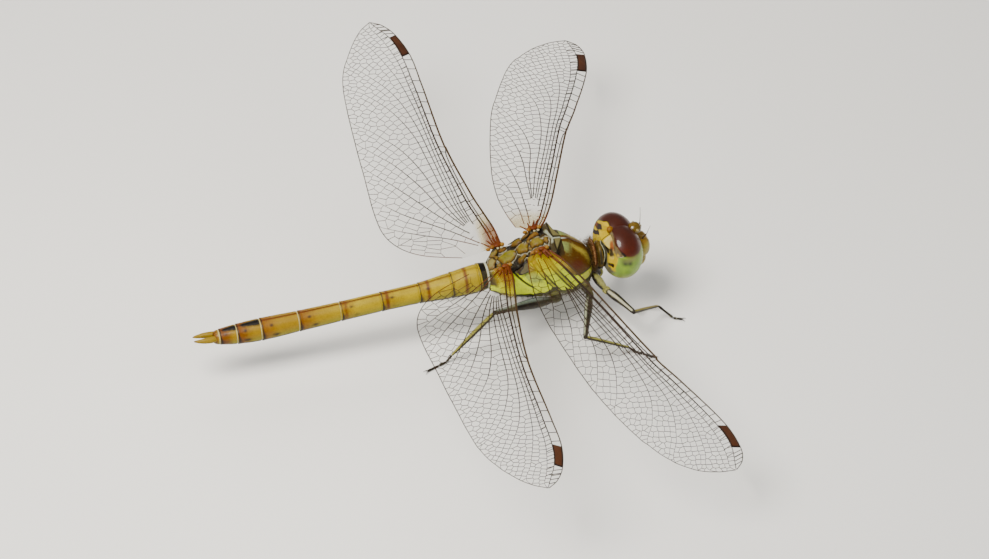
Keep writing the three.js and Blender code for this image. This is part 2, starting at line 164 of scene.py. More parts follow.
@dataclass
class Surface:
    """Points in millimetres in the animal's own measure, faces, and each named field's number per point."""

    points: Array
    quads: Array
    tris: Array
    fields: dict[str, Array] = field(default_factory=dict)

    def faced_out(self) -> "Surface":
        """Turns every face round if the enclosed volume, the sum of a.(b x c) over its faces, is
        negative.

        Returns:
            This surface, facing out.
        """
        p = self.points - self.points.mean(0)
        tri = np.concatenate([self.tris, self.quads[:, [0, 1, 2]], self.quads[:, [0, 2, 3]]])
        a, b, c = p[tri[:, 0]], p[tri[:, 1]], p[tri[:, 2]]
        if np.einsum("ij,ij->", a, np.cross(b, c)) < 0:
            self.quads, self.tris = self.quads[:, ::-1], self.tris[:, ::-1]
        return self

    def moved(self, change: Callable[[Array], Array]) -> "Surface":
        """The same surface with its points put through a function."""
        return Surface(change(self.points), self.quads, self.tris, dict(self.fields)).faced_out()

    def with_fields(self, **fields: Array | float) -> "Surface":
        """Adds named numbers at each point.

        Args:
            fields: each name's numbers, or one for all the points.

        Returns:
            This surface.
        """
        for name, values in fields.items():
            self.fields[name] = np.broadcast_to(np.asarray(values, float), (len(self.points),)).copy()
        return self

    @staticmethod
    def joined(parts: Iterable["Surface"]) -> "Surface":
        """All the parts in one, each keeping its own points. A field that a part lacks is 0 there.

        Args:
            parts: the surfaces to put together.

        Returns:
            One surface with every field that any part has.
        """
        parts = list(parts)
        starts = np.cumsum([0] + [len(p.points) for p in parts])
        names = sorted({n for p in parts for n in p.fields})
        return Surface(
            np.concatenate([p.points for p in parts]),
            np.concatenate([p.quads + s for p, s in zip(parts, starts)]),
            np.concatenate([p.tris + s for p, s in zip(parts, starts)]),
            {n: np.concatenate([p.fields.get(n, np.zeros(len(p.points))) for p in parts]) for n in names},
        )


def skin(grid: Array, fields: Optional[dict[str, Array]] = None) -> Surface:
    """A tube-like surface: rows of points, each row a closed ring, with a fan over each end.

    Args:
        grid: points as rows by columns by 3; columns close on themselves.
        fields: numbers as rows by columns.

    Returns:
        The surface, facing out.
    """
    rows, cols = grid.shape[:2]
    index = np.arange(rows * cols).reshape(rows, cols)
    around = np.roll(index, -1, axis=1)
    quads = np.stack([index[:-1], around[:-1], around[1:], index[1:]], -1).reshape(-1, 4)
    first, last = rows * cols, rows * cols + 1
    points = np.concatenate([grid.reshape(-1, 3), grid[:1].mean(1), grid[-1:].mean(1)])
    flat = {n: np.broadcast_to(f, (rows, cols)).reshape(-1) for n, f in (fields or {}).items()}
    flat = {n: np.concatenate([f, [f[:cols].mean(), f[-cols:].mean()]]) for n, f in flat.items()}
    tris = np.concatenate([
        np.stack([around[0], index[0], np.full(cols, first)], -1),
        np.stack([index[-1], around[-1], np.full(cols, last)], -1),
    ])
    return Surface(points, quads, tris, flat).faced_out()


def ball(
    centre: Sequence[float], radii: Sequence[float], rows: int = 24, cols: int = 32, power: float = 1.0,
) -> Surface:
    """An egg: centre plus radii times (cos a sin b, sin a sin b, cos b), with blunter sides for a power
    under 1.

    Args:
        centre: its middle.
        radii: half-sizes along X, Y and Z.
        rows: rings from end to end.
        cols: points in each ring.
        power: 1 for an egg, less for a blunter one.

    Returns:
        The egg, facing out.
    """
    b = np.linspace(0.06, math.pi - 0.06, rows)[:, None]
    a = circle(cols)[None, :]
    shape = np.stack([
        power_sign(np.cos(a) * np.sin(b), power),
        power_sign(np.sin(a) * np.sin(b), power),
        power_sign(np.cos(b) * np.ones_like(a), power),
    ], -1)
    return skin(np.asarray(centre) + shape * np.asarray(radii))


def rod(path: Array, radii: Array, sides: int = 12) -> Surface:
    """A round bar along a path: path(t) + radius(t) * (side cos a + up sin a).

    Fields: along runs 0 to 1 down the path and around 0 to 1 from the bar's side over its top.

    Args:
        path: points down its middle, one row each.
        radii: the radius at each of them.
        sides: points in each ring.

    Returns:
        The bar with both ends closed.
    """
    path, radii = np.asarray(path, float), np.asarray(radii, float)
    ahead = unit(np.gradient(path, axis=0))
    side = unit(np.cross(np.array([0, 0, 1.0]), ahead) + np.array([1e-6, 0, 0]))
    up = np.cross(ahead, side)
    a = circle(sides)
    grid = path[:, None] + radii[:, None, None] * spokes(side, up, a)
    step = np.linspace(0, 1, len(path))[:, None] * np.ones(sides)
    turn = np.ones(len(path))[:, None] * (a / (2 * math.pi))
    return skin(grid, {"along": step, "around": turn})


def spikes(roots: Array, tips: Array, width: Array | float, sides: int = 4) -> Surface:
    """Many thin cones at once: a ring of points round each root and one point at each tip.

    Args:
        roots: where each stands, one row each.
        tips: where each ends.
        width: radius at the root.
        sides: corners of each ring.

    Returns:
        All of them as one surface, facing out.
    """
    count = len(roots)
    ahead = unit(tips - roots)
    side = unit(np.cross(ahead, np.array([0.31, 0.17, 0.93])))
    up = np.cross(ahead, side)
    a = circle(sides)
    width = np.broadcast_to(np.asarray(width, float), (count,))
    ring = roots[:, None] + width[:, None, None] * spokes(side, up, a)
    points = np.concatenate([ring, tips[:, None]], 1).reshape(-1, 3)
    base = (np.arange(count) * (sides + 1))[:, None]
    k = np.arange(sides)
    walls = np.stack(np.broadcast_arrays(base + k, base + (k + 1) % sides, base + sides), -1).reshape(-1, 3)
    floors = np.stack(np.broadcast_arrays(base, base + k[2:], base + k[1:-1]), -1).reshape(-1, 3)
    return Surface(points, np.zeros((0, 4), int), np.concatenate([walls, floors]))


# ---- finishes


def tone(code: str) -> tuple[float, float, float, float]:
    """A colour from its six-figure code, made linear with the usual 2.4 power curve.

    Args:
        code: two figures each for red, green and blue, base 16.

    Returns:
        Red, green, blue and 1.
    """
    channels = [int(code[i:i + 2], 16) / 255 for i in (0, 2, 4)]
    linear = [c / 12.92 if c <= 0.04045 else ((c + 0.055) / 1.055) ** 2.4 for c in channels]
    return (linear[0], linear[1], linear[2], 1.0)


class Paint:
    """A material's nodes, made by short calls that each return an output socket."""

    def __init__(self, name: str) -> None:
        """Starts an empty material with one shader.

        Args:
            name: the material's name.
        """
        self.material = bpy.data.materials.new(name)
        self.material.use_nodes = True
        self.tree = self.material.node_tree
        self.shader = self.tree.nodes["Principled BSDF"]
        self.place = self.tree.nodes.new("ShaderNodeTexCoord").outputs["Object"]

    def node(self, kind: str, inputs: dict, **settings: object) -> bpy.types.Node:
        """Adds a node, sets its options and fills or links its inputs.

        Args:
            kind: the node's type.
            inputs: a socket or value for each input's name or number.
            settings: the node's own options.

        Returns:
            The node.
        """
        made = self.tree.nodes.new(kind)
        for key, value in settings.items():
            setattr(made, key, value)
        for key, value in inputs.items():
            self.feed(made.inputs[key], value)
        return made

    def feed(self, socket: Socket, value: object) -> None:
        """Links a socket or sets its value.

        Args:
            socket: the input to fill.
            value: an output socket to link, or a plain value.
        """
        if isinstance(value, Socket):
            self.tree.links.new(value, socket)
        else:
            socket.default_value = value

    def noise(self, scale: float, detail: float = 3, rough: float = 0.55) -> Socket:
        """Cloudy numbers about 0.5, with this many lumps to the metre.

        Args:
            scale: lumps to the metre.
            detail: how many finer layers.
            rough: how strong those are.

        Returns:
            The numbers.
        """
        made = self.node(
            "ShaderNodeTexNoise",
            {"Vector": self.place, "Scale": scale, "Detail": detail, "Roughness": rough}
        )
        return made.outputs["Fac"]

    def cells(self, scale: float) -> Socket:
        """Distance from the nearest of many scattered points: small domes side by side."""
        made = self.node("ShaderNodeTexVoronoi", {"Vector": self.place, "Scale": scale})
        return made.outputs["Distance"]

    def field(self, name: str) -> Socket:
        """The piece's own numbers of that name."""
        return self.node("ShaderNodeAttribute", {}, attribute_name=name).outputs["Fac"]

    def sum(self, kind: str, a: object, b: object, clamp: bool = False) -> Socket:
        """One step of arithmetic on two numbers."""
        return self.node("ShaderNodeMath", {0: a, 1: b}, operation=kind, use_clamp=clamp).outputs[0]

    def span(
        self, value: object, low: float, high: float, to_low: float = 0.0, to_high: float = 1.0,
    ) -> Socket:
        """Stretches a range of numbers onto another, clamped.

        Args:
            value: the number to stretch.
            low: its first end.
            high: its other end.
            to_low: what the first end becomes.
            to_high: what the other end becomes.

        Returns:
            The stretched number.
        """
        made = self.node(
            "ShaderNodeMapRange",
            {"Value": value, "From Min": low, "From Max": high, "To Min": to_low, "To Max": to_high},
        )
        return made.outputs[0]

    def mix(self, share: object, a: object, b: object) -> Socket:
        """Colour a turning into colour b as share goes from 0 to 1.

        Args:
            share: how much of b.
            a: the first colour.
            b: the second colour.

        Returns:
            The mixed colour.
        """
        made = self.node("ShaderNodeMix", {}, data_type="RGBA")
        self.feed(made.inputs["Factor"], share)
        self.feed(made.inputs[6], a)
        self.feed(made.inputs[7], b)
        return made.outputs[2]

    def bump(self, height: object, strength: float, depth: float, under: object = None) -> Socket:
        """A bump of that depth in metres.

        Args:
            height: the number that rises and falls.
            strength: how much of it shows.
            depth: what a height of 1 stands for.
            under: a bump that this one lies on.

        Returns:
            The bent normal.
        """
        inputs = {"Height": height, "Strength": strength, "Distance": depth}
        if under is not None:
            inputs["Normal"] = under
        return self.node("ShaderNodeBump", inputs).outputs[0]

    def set(self, **values: object) -> None:
        """Feeds the shader's inputs; a word's underscores stand for spaces."""
        for key, value in values.items():
            self.feed(self.shader.inputs[key.replace("_", " ")], value)


@dataclass(frozen=True)
class Layer:
    """One marking: the field that says where it lies, its colour, and how ragged its edge is."""

    field: str
    colour: str
    strength: float = 1.0
    ragged: float = 0.2


@dataclass(frozen=True)
class Cuticle:
    """Hard insect skin: two ground tones, markings over them, fine pits and a satin gloss."""

    name: str
    ground: str
    second: str
    layers: tuple[Layer, ...] = ()
    roughness: float = 0.38
    pit: float = 0.6
    gloss: float = 0.25
    blotch: float = 900.0
    shine: float = 0.28

    def build(self) -> Material:
        """Ground tones mixed by cloudy noise, each marking over the last, then pits and gloss.

        Returns:
            The material.
        """
        p = Paint(self.name)
        cloud = p.noise(self.blotch, 4)
        grain = p.noise(GRAIN, 2)
        colour = p.mix(p.span(cloud, 0.35, 0.68), tone(self.ground), tone(self.second))
        for layer in self.layers:
            ragged = p.sum("MULTIPLY", p.sum("SUBTRACT", p.noise(RAGS, 2), 0.5), layer.ragged)
            share = p.span(p.sum("ADD", p.field(layer.field), ragged), 0.12, 0.88, 0.0, layer.strength)
            colour = p.mix(share, colour, tone(layer.colour))
        shade = p.node(
            "ShaderNodeHueSaturation", {"Color": colour, "Value": p.span(grain, 0.3, 0.7, 0.86, 1.12)}
        )
        pits = p.bump(
            p.cells(PITS), 0.35 * self.pit, 0.00002, p.bump(p.noise(2600, 3), 0.5 * self.pit, 0.00005)
        )
        p.set(
            Base_Color=shade.outputs[0],
            Roughness=p.span(p.noise(3500, 2), 0.3, 0.7, self.roughness - 0.08, self.roughness + 0.12),
            Normal=pits,
            Coat_Weight=self.gloss,
            Coat_Roughness=0.15,
            Specular_IOR_Level=self.shine,
        )
        return p.material


@dataclass(frozen=True)
class EyeFinish:
    """Compound eye: a dark cap over a green side, dark false pupils, and thousands of small lenses."""

    name: str = "compound_eye"

    def build(self) -> Material:
        """Cap to side along the field cap, spots along the field pupil, lens domes as bump under a clear
        coat.

        Returns:
            The material.
        """
        p = Paint(self.name)
        cloud = p.noise(1500, 3)
        cap = p.mix(p.span(cloud, 0.3, 0.7), tone("391205"), tone("481706"))
        cap = p.mix(p.field("crown"), cap, tone("2a130a"))
        side = p.mix(p.span(cloud, 0.3, 0.7), tone("64821a"), tone("7c9a1a"))
        side = p.mix(p.field("low"), side, tone("96962a"))
        side = p.mix(p.field("pupil"), side, tone("1e2a10"))
        edge = p.sum("ADD", p.field("cap"), p.sum("MULTIPLY", p.sum("SUBTRACT", p.noise(2500, 2), 0.5), 0.12))
        colour = p.mix(p.span(edge, 0.28, 0.72), side, cap)
        colour = p.mix(p.field("haze"), colour, tone("64523e"))
        rear = p.mix(p.span(cloud, 0.3, 0.7), tone("a28802"), tone("b09608"))
        ragged = p.sum(
            "ADD", p.field("mark"), p.sum("MULTIPLY", p.sum("SUBTRACT", p.noise(2600, 3), 0.5), 0.9)
        )
        rear = p.mix(p.span(ragged, 0.35, 0.6), rear, p.mix(p.field("rust"), tone("1c0e06"), tone("643006")))
        rear = p.mix(p.field("shade"), rear, p.mix(p.span(cloud, 0.3, 0.7), tone("504b34"), tone("605e4c")))
        colour = p.mix(p.field("rear"), colour, rear)
        band = p.mix(p.span(p.noise(2200, 3), 0.35, 0.65), tone("4c3c26"), tone("746644"))
        colour = p.mix(p.field("rim"), colour, band)
        colour = p.mix(p.field("streak"), colour, tone("742c04"))
        colour = p.mix(p.sum("MAXIMUM", p.field("notch"), p.field("face")), colour, tone("120b07"))
        lenses = p.bump(p.cells(LENSES), 0.22, 0.00001)
        p.set(
            Base_Color=colour,
            Roughness=p.span(p.field("rear"), 0, 1, 0.42, 0.6),
            Normal=lenses,
            Specular_IOR_Level=0.2,
            Coat_Weight=p.span(p.field("rear"), 0, 1, 0.32, 0.02),
            Coat_Roughness=0.05,
        )
        return p.material


@dataclass(frozen=True)
class FilmFinish:
    """Wing film: clear, faintly smoky, amber by the root, with a soft shine."""

    name: str = "wing_film"

    def build(self) -> Material:
        """A thin see-through coat whose cover grows with the field amber.

        Returns:
            The material.
        """
        p = Paint(self.name)
        amber = p.field("amber")
        colour = p.mix(p.span(amber, 0.0, 0.3), tone("6f6848"), tone("9c8400"))
        # Deep brown where the amber is strongest: partly real amber, partly painted shade at the hind wing
        # roots.
        colour = p.mix(p.span(amber, 0.55, 0.85), colour, tone("744800"))
        cover = p.sum(
            "ADD", p.span(p.noise(700, 3), 0.3, 0.7, 0.01, 0.03), p.sum("MULTIPLY", amber, 0.62), True
        )
        p.set(
            Base_Color=colour,
            Roughness=p.span(p.noise(1800, 2), 0.3, 0.7, 0.12, 0.24),
            Alpha=cover,
            Normal=p.bump(p.noise(2400, 3), 0.35, 0.00004),
            Coat_Weight=0.5,
            Coat_Roughness=0.12,
        )
        return p.material


@dataclass(frozen=True)
class FloorFinish:
    """Pale matt floor."""

    name: str = "pale_floor"

    def build(self) -> Material:
        """Nearly even pale grey with a faint cloud in it.

        Returns:
            The material.
        """
        p = Paint(self.name)
        p.set(
            Base_Color=p.mix(p.noise(20, 2), tone("dedbd4"), tone("e6e3dd")),
            Roughness=0.8,
            Normal=p.bump(p.noise(900, 2), 0.1, 0.0001),
        )
        return p.material


# ---- pieces


def place_piece(
    name: str,
    surface: Surface,
    material: Material,
    slot: str,
    nodes: Sequence[str] = (),
) -> bpy.types.Object:
    """Puts a surface into the scene in metres, on the body and in place of its solids.

    Args:
        name: the piece's name.
        surface: its shape, in the animal's own measure.
        material: its finish.
        slot: the record's material slot; not used.
        nodes: the solids it stands for.

    Returns:
        The new object.
    """
    mesh = bpy.data.meshes.new(name)
    points = ((surface.points + SHIFT) * MM).astype(np.float32)
    loops = np.concatenate([surface.quads.reshape(-1), surface.tris.reshape(-1)]).astype(np.int32)
    sizes = np.concatenate([np.full(len(surface.quads), 4), np.full(len(surface.tris), 3)]).astype(np.int32)
    mesh.vertices.add(len(points))
    mesh.vertices.foreach_set("co", points.reshape(-1))
    mesh.loops.add(len(loops))
    mesh.loops.foreach_set("vertex_index", loops)
    mesh.polygons.add(len(sizes))
    mesh.polygons.foreach_set("loop_start", (np.cumsum(sizes) - sizes).astype(np.int32))
    mesh.polygons.foreach_set("loop_total", sizes)
    mesh.polygons.foreach_set("use_smooth", np.ones(len(sizes), bool))
    for key, values in surface.fields.items():
        mesh.attributes.new(key, "FLOAT", "POINT").data.foreach_set("value", values.astype(np.float32))
    mesh.update()
    mesh.validate()
    piece = bpy.data.objects.new(name, mesh)
    piece.data.materials.append(material)
    bpy.context.scene.collection.objects.link(piece)
    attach(piece, "root")
    if nodes:
        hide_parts(*nodes)
    log.info("%s: %d points, %d faces", name, len(points), len(sizes))
    return piece


# ---- abdomen


@dataclass
class Abdomen:
    """Ten rings in one skin, the pair of tail prongs and the egg flap."""

    joints: tuple[float, ...] = (
        -1.3, -2.2, -4.55, -7.35, -10.65, -14.2, -17.85, -21.15, -23.25, -24.75, -25.35
    )
    middles: tuple[float, ...] = (6.08, 5.95, 5.66, 5.42, 5.2, 4.92, 4.66, 4.48, 4.44, 4.46, 4.46)
    halves: tuple[float, ...] = (1.12, 1.2, 1.05, 0.84, 0.8, 0.8, 0.86, 0.96, 0.86, 0.68, 0.5)
    talls: tuple[float, ...] = (1.1, 1.24, 1.12, 0.9, 0.84, 0.85, 0.9, 0.95, 0.84, 0.64, 0.48)
    rows: int = 560
    cols: int = 112
    rings: tuple[float, ...] = (-1.0, 0.48, 0.73, 0.86, 0.89, 0.95, 1.0, 1.0, 1.0, 1.0)
    pale: tuple[float, ...] = (0.0, 0.0, 0.0, 0.0, 0.1, 0.5, 0.9, 1.0, 1.0, 0.9)

    def build(self) -> None:
        """Builds and dresses every piece of the abdomen."""
        place_piece(
            "abdomen_skin", self.skin(), self.finish(), "abdomen_cuticle",
            [f"abdomen_{i}" for i in range(1, 11)],
        )
        prong = Cuticle(
            "tail_prong", "6c5408", "7e660e", (Layer("tip", "4c260c", 0.8),), 0.46, gloss=0.05, shine=0.15
        )
        for side in Side:
            place_piece(
                f"prong_{side.word}", self.prong(side), prong.build(), "cercus", [f"cercus_{side.word}"]
            )
        flap = Cuticle("egg_flap", "956555", "6c4034", (), 0.45, gloss=0.1)
        place_piece("egg_flap", self.flap(), flap.build(), "amber_cuticle", ["tail_valve"])

    def skin(self) -> Surface:
        """A loft along X. Ring half-width and height run smoothly through the joints, less a waist behind
        each rim.

        Around the ring the side is half * cos a and the height tall * sin a, with a low keel added on top
        and the belly drawn in. The fields mark the rings, spots and lines by ring share s and angle from
        the top.

        Returns:
            The abdomen with its markings as fields.
        """
        x = np.linspace(self.joints[0], self.joints[-1], self.rows)
        key = [-v for v in self.joints]
        middle, half, tall = (through(key, v, -x) for v in (self.middles, self.halves, self.talls))
        number = np.clip(np.searchsorted(key, -x, side="right") - 1, 0, 9)
        front, rear = np.array(self.joints)[number], np.array(self.joints)[number + 1]
        s = (front - x) / (front - rear)
        behind, before = front - x, x - rear
        swell = 1 + 0.035 * bell(before, 0, 0.22) - 0.075 * bell(behind, 0, 0.09) * (number > 0)
        swell = swell + 0.012 * np.sin(np.pi * s)
        close = np.sqrt(np.clip(1 - np.clip(1 - (x - self.joints[-1]) / 0.35, 0, 1) ** 2, 0, 1)) * 0.35 + 0.65
        a = circle(self.cols)[None, :]
        around = np.abs(np.degrees(np.arctan2(np.cos(a), np.sin(a))))
        keel = 0.055 * bell(around, 0, 9) * ease(-1.5, -3.5, x)[:, None]
        flank = -0.05 * bell(around, 132, 11)
        scale = (swell * close)[:, None] * (1 + keel + flank)
        seam = 1 - 0.02 * bell(around, 132, 4)
        y = half[:, None] * scale * seam * power_sign(np.cos(a), 0.94)
        z = middle[:, None] + tall[:, None] * scale * seam * power_sign(np.sin(a), 0.97)
        grid = np.stack([x[:, None] * np.ones_like(a), y, z], -1)
        return skin(grid, self.markings(x, s, number, behind, before, around))

    def markings(
        self, x: Array, s: Array, number: Array, behind: Array, before: Array, around: Array,
    ) -> dict[str, Array]:
        """Where each marking lies.

        Args:
            x: each row's place.
            s: its share of the way down its ring.
            number: its ring, from 0.
            behind: distance behind the ring's front.
            before: distance ahead of the ring's rear.
            around: each column's angle from the top, in degrees.

        Returns:
            Numbers from 0 to 1 as rows by columns.
        """
        row = np.ones_like(around)
        col = np.ones((len(x), 1))

        def of(values: Sequence[float]) -> Array:
            """Each row's value, from one for each ring."""
            return np.array(values)[number][:, None]

        length = (behind + before)[:, None]
        s, behind, before = s[:, None], behind[:, None], before[:, None]
        upper = ease(118, 96, around)
        rust_ring = (
            bell((s - of(self.rings)) * length, 0, 0.17) * upper
            * of([0, 1, 1, 1, 0.7, 0.5, 0.4, 0.3, 0.3, 0])
        )
        keel = bell(around, 0, 7) * col * of([0, 0.4, 0.8, 1, 1, 1, 1, 0.8, 0.8, 0.6])
        rim = (
            bell(before, 0, 0.085 + 0.22 * bell(around, 97, 27)) * ease(138, 122, around)
            * of([0.9, 1, 1, 1, 1, 1, 1, 1, 1, 0.6])
        )
        pale = bell(behind, 0.1, 0.045) * of(self.pale) * ease(140, 120, around)
        joint = bell(behind, 0.1, 0.13) * of([1, 0, 0, 0, 0, 0, 0, 0, 0, 0])
        at = of([0.5, 0.6, 0.75, 0.74, 0.76, 0.77, 0.75, 0.7, 0.7, 0.5])
        spot = (
            bell((s - at) * length, 0, 0.2) * bell(around, 36, 9)
            * of([0, 0, 0.8, 0.9, 0.9, 1, 1, 1, 0.7, 0])
        )
        blotch = (
            bell((s - 0.64) * length, 0, 0.36) * bell(around, 92, 11)
            * of([0, 0, 0.2, 0.3, 0.5, 0.9, 1, 1, 0.4, 0])
        )
        saddle = (
            ease(12, -12, around - 25 + 17 * s) * ease(0.98, 0.75, s) * ease(0.02, 0.12, s)
            * of([0, 0, 0, 0, 0, 0, 0, 1, 1, 0])
        )
        last = 0.86 - 0.12 * around / 100
        first = (
            ease(118, 104, around) * ease(0.2, 0.26, s) * ease(last, last - 0.08, s)
            * of([1, 0, 0, 0, 0, 0, 0, 0, 0, 0])
        )
        # Near black underside: partly the real dark belly, partly painted shade under the abdomen.
        under = ease(108, 116, around) * col
        rust = ease(-19.5, -24.5, x)[:, None] * row * ease(0.1, 0.7, s)
        warm = ease(0.45, 0.95, s) * of([0, 0.2, 0.5, 0.6, 0.7, 0.9, 1, 1, 1, 0]) * row
        tan = ease(-11.0, -19.0, x)[:, None] * row
        shade = ease(60, 112, around) * col
        return {
            "rust_ring": rust_ring, "keel": keel, "rim": rim, "pale": pale, "joint": joint,
            "spot": np.clip(spot + blotch, 0, 1), "saddle": np.clip(saddle + first, 0, 1),
            "under": under, "rust": rust, "shade": shade, "warm": warm, "tan": tan,
        }

    def finish(self) -> Material:
        """Olive yellow with rusty rings and keel, pale joints, black marks, and a near black underside that
        is partly the real dark belly and partly painted shade.

        Returns:
            The material.
        """
        return Cuticle(
            "abdomen_cuticle", "8c7600", "9c8600",
            (
                Layer("tan", "7c5e00", 0.85), Layer("shade", "7e7c00", 0.6),
                Layer("warm", "6c3c00", 0.7, 0.6),
                Layer("rust", "5c2c00", 0.75, 0.6), Layer("keel", "4c2002", 0.9, 0.5),
                Layer("rust_ring", "582a00", 0.9, 0.6),
                Layer("pale", "b4ac78", 0.95, 0.1), Layer("joint", "a4a898", 0.95, 0.1),
                Layer("spot", "201209", 0.85, 0.4), Layer("saddle", "0c0805", 1.0, 0.4),
                # The near black underside layer is partly painted shade.
                Layer("under", "17120c", 0.95, 0.3), Layer("rim", "150e09", 0.95, 0.15),
            ),
            roughness=0.46, gloss=0.06, shine=0.18,
        ).build()

    def prong(self, side: Side) -> Surface:
        """A spindle: its radius swells to the middle and runs out to a point, and its tip turns up.

        Args:
            side: which of the two.

        Returns:
            The prong.
        """
        t = np.linspace(0, 1, 26)
        path = np.stack(
            [-25.1 - 1.95 * t, side.value * (0.27 + 0.08 * np.sin(math.pi * t)), 4.58 + 0.1 * t * t], -1
        )
        radius = 0.3 * np.sqrt(np.clip(np.sin(math.pi * (0.3 + 0.7 * t)), 0, 1)) * (1 - 0.4 * t) + 0.012
        shape = rod(path, radius, 16)
        return shape.with_fields(tip=ease(-26.75, -27.1, shape.points[:, 0]))

    def flap(self) -> Surface:
        """A flat egg under the last rings."""
        return ball((-24.35, 0, 3.86), (0.62, 0.3, 0.2), 16, 22)


# ---- thorax


@dataclass
class Thorax:
    """The wing-bearing box, its collar, its back plates and the wing hinges."""

    places: tuple[float, ...] = (-1.25, -0.3, 1.1, 2.6, 4.1, 5.4, 6.5, 7.35, 7.75)
    tops: tuple[float, ...] = (6.9, 7.32, 7.85, 8.55, 8.85, 8.82, 8.1, 7.3, 6.55)
    bottoms: tuple[float, ...] = (4.75, 4.2, 3.72, 3.42, 3.25, 3.2, 3.35, 3.75, 4.35)
    halves: tuple[float, ...] = (1.25, 1.68, 2.02, 2.2, 2.25, 2.18, 1.95, 1.5, 0.95)
    belts: tuple[float, ...] = (0.54, 0.56, 0.56, 0.54, 0.52, 0.5, 0.48, 0.48, 0.5)
    # x, y, half-length, half-width, turn, height, then how brown, how ruddy and how pale it is.
    plates: tuple[tuple[float, ...], ...] = (
        (0.46, 0, 0.74, 0.66, 0, 0.3, 0.0, 0, 0), (1.83, 0, 0.52, 0.56, 0, 0.3, 0.1, 0.3, 0),
        (1.5, 1.02, 0.46, 0.28, -18, 0.2, 0.65, 0.2, 0), (3.02, 0, 0.62, 0.5, 0, 0.3, 0.25, 0.25, 0.1),
        (2.95, 0.88, 0.5, 0.22, 12, 0.22, 0.5, 0.5, 0), (3.85, 0.0, 0.2, 0.42, 0, 0.2, 0.2, 0.4, 0.3),
        (-0.92, 0, 0.34, 0.62, 0, 0.18, 0.25, 0, 0.75), (-0.5, 0.92, 0.32, 0.26, 30, 0.18, 0.0, 0, 0.4),
        (0.25, 1.12, 0.42, 0.2, -6, 0.14, 0.3, 0.5, 0), (2.35, 1.2, 0.3, 0.18, 20, 0.12, 0.5, 0.3, 0.2),
        (-0.35, 0.5, 0.18, 0.26, 0, 0.1, 0.4, 0.1, 0.3), (2.4, 0.42, 0.16, 0.2, 0, 0.12, 0.1, 0.1, 0.5),
    )
    hollows: tuple[tuple[float, float, float, float], ...] = (
        (2.5, 0.98, 0.62, 0.24), (1.2, 0.72, 0.24, 0.16), (-0.3, 0.95, 0.22, 0.3), (0.95, 1.05, 0.25, 0.25),
        (3.72, 1.0, 0.3, 0.4), (-0.6, 0.4, 0.12, 0.4),
    )
    crest: tuple[tuple[float, float], ...] = ((4.5, 0.16), (5.2, 0.12), (4.33, 1.98))
    # The pale knobs, ruddy plates and white knuckles of a hinge: place, half-sizes, paleness (2 is white).
    knuckles: tuple[tuple, ...] = (
        ((0.38, -0.06, 0.06), (0.19, 0.18, 0.17), 1.0), ((-0.02, -0.02, 0.02), (0.34, 0.22, 0.17), 0.0),
        ((-0.48, 0.04, -0.16), (0.22, 0.2, 0.14), 0.5), ((-0.85, -0.06, -0.28), (0.2, 0.16, 0.12), 0.8),
        ((0.16, 0.24, -0.06), (0.24, 0.2, 0.15), 0.1), ((-0.3, 0.3, -0.16), (0.2, 0.2, 0.12), 0.3),
        ((0.26, -0.27, -0.08), (0.13, 0.1, 0.09), 2.0), ((-0.06, -0.28, -0.1), (0.11, 0.1, 0.08), 2.0),
    )
    slant: float = 0.645
    hinge_side: float = 1.38
    rows: int = 330
    cols: int = 260

    def build(self) -> None:
        """Builds and dresses every piece of the thorax."""
        place_piece("thorax_box", self.box(), self.side_finish(), "thorax_cuticle", ["synthorax"])
        place_piece("collar", self.collar(), self.collar_finish(), "amber_cuticle", ["prothorax"])
        place_piece(
            "back_plates", self.back(), self.back_finish(), "amber_cuticle", ["mesonotum", "metanotum"]
        )
        hinge = Cuticle(
            "wing_hinge", "4e1c00", "602e02",
            (
                Layer("pale", "84601c", 0.9, 0.6), Layer("white", "a09878", 0.95),
                # The edge layer is painted shade on the knobs' lower parts, and a darker tone on the struts.
                Layer("edge", "160904", 0.92)
            ),
            0.46, gloss=0.05, shine=0.18,
        )
        scale = Cuticle(
            "side_scale", "4c4630", "5c5438", (Layer("knob", "9a7c10", 0.95), Layer("edge", "120c08", 0.95)),
            0.42, gloss=0.1
        )
        place_piece("side_scales", self.scales(), scale.build(), "amber_cuticle")
        place_piece("wing_hinges", self.hinges(), hinge.build(), "amber_cuticle")

    def at(self, x: Array, a: Array) -> Array:
        """The box's surface at place x and angle a, before any relief.

        The side is half * cos a to the 0.9 and the height belt + reach * sin a to the 0.95, where the
        reach is the way to the top above the belt and to the bottom under it. Both powers drop round the
        shoulders, which squares them.

        Args:
            x: places along the body.
            a: angles round it, from the left over the top.

        Returns:
            Points, with a last axis of 3.
        """
        top, bottom, half, belt = (
            through(self.places, v, x) for v in (self.tops, self.bottoms, self.halves, self.belts)
        )
        middle = bottom + belt * (top - bottom)
        reach = np.where(np.sin(a) > 0, top - middle, middle - bottom)
        square = 0.28 * bell(x, 4.3, 1.5) * ease(0.0, 0.5, np.sin(a))
        y = half * power_sign(np.cos(a), 0.9 - square)
        z = middle + reach * power_sign(np.sin(a), 0.95 - square)
        return np.stack(np.broadcast_arrays(x, y, z), -1)

    def box(self) -> Surface:
        """The box with its slanting side plates: they bulge between grooves, which run at even q.

        q = x + slant (z - 6) stays the same all along a side groove. The relief goes along each point's
        own outward direction in the ring, which is found from the neighbours around it.

        Returns:
            The box with its markings as fields.
        """
        x = np.linspace(self.places[0], self.places[-1], self.rows)[:, None]
        a = circle(self.cols)[None, :]
        grid = self.at(x, a)
        ahead = np.roll(grid, -1, 1) - np.roll(grid, 1, 1)
        out = unit(np.stack([np.zeros_like(ahead[..., 0]), ahead[..., 2], -ahead[..., 1]], -1))
        fields = self.markings(grid)
        grid = grid + out * self.relief(grid, fields)[..., None]
        return skin(grid, fields)

    def q(self, grid: Array) -> Array:
        """The slanting measure that stays even along a side groove."""
        return grid[..., 0] + self.slant * (grid[..., 2] - 6)

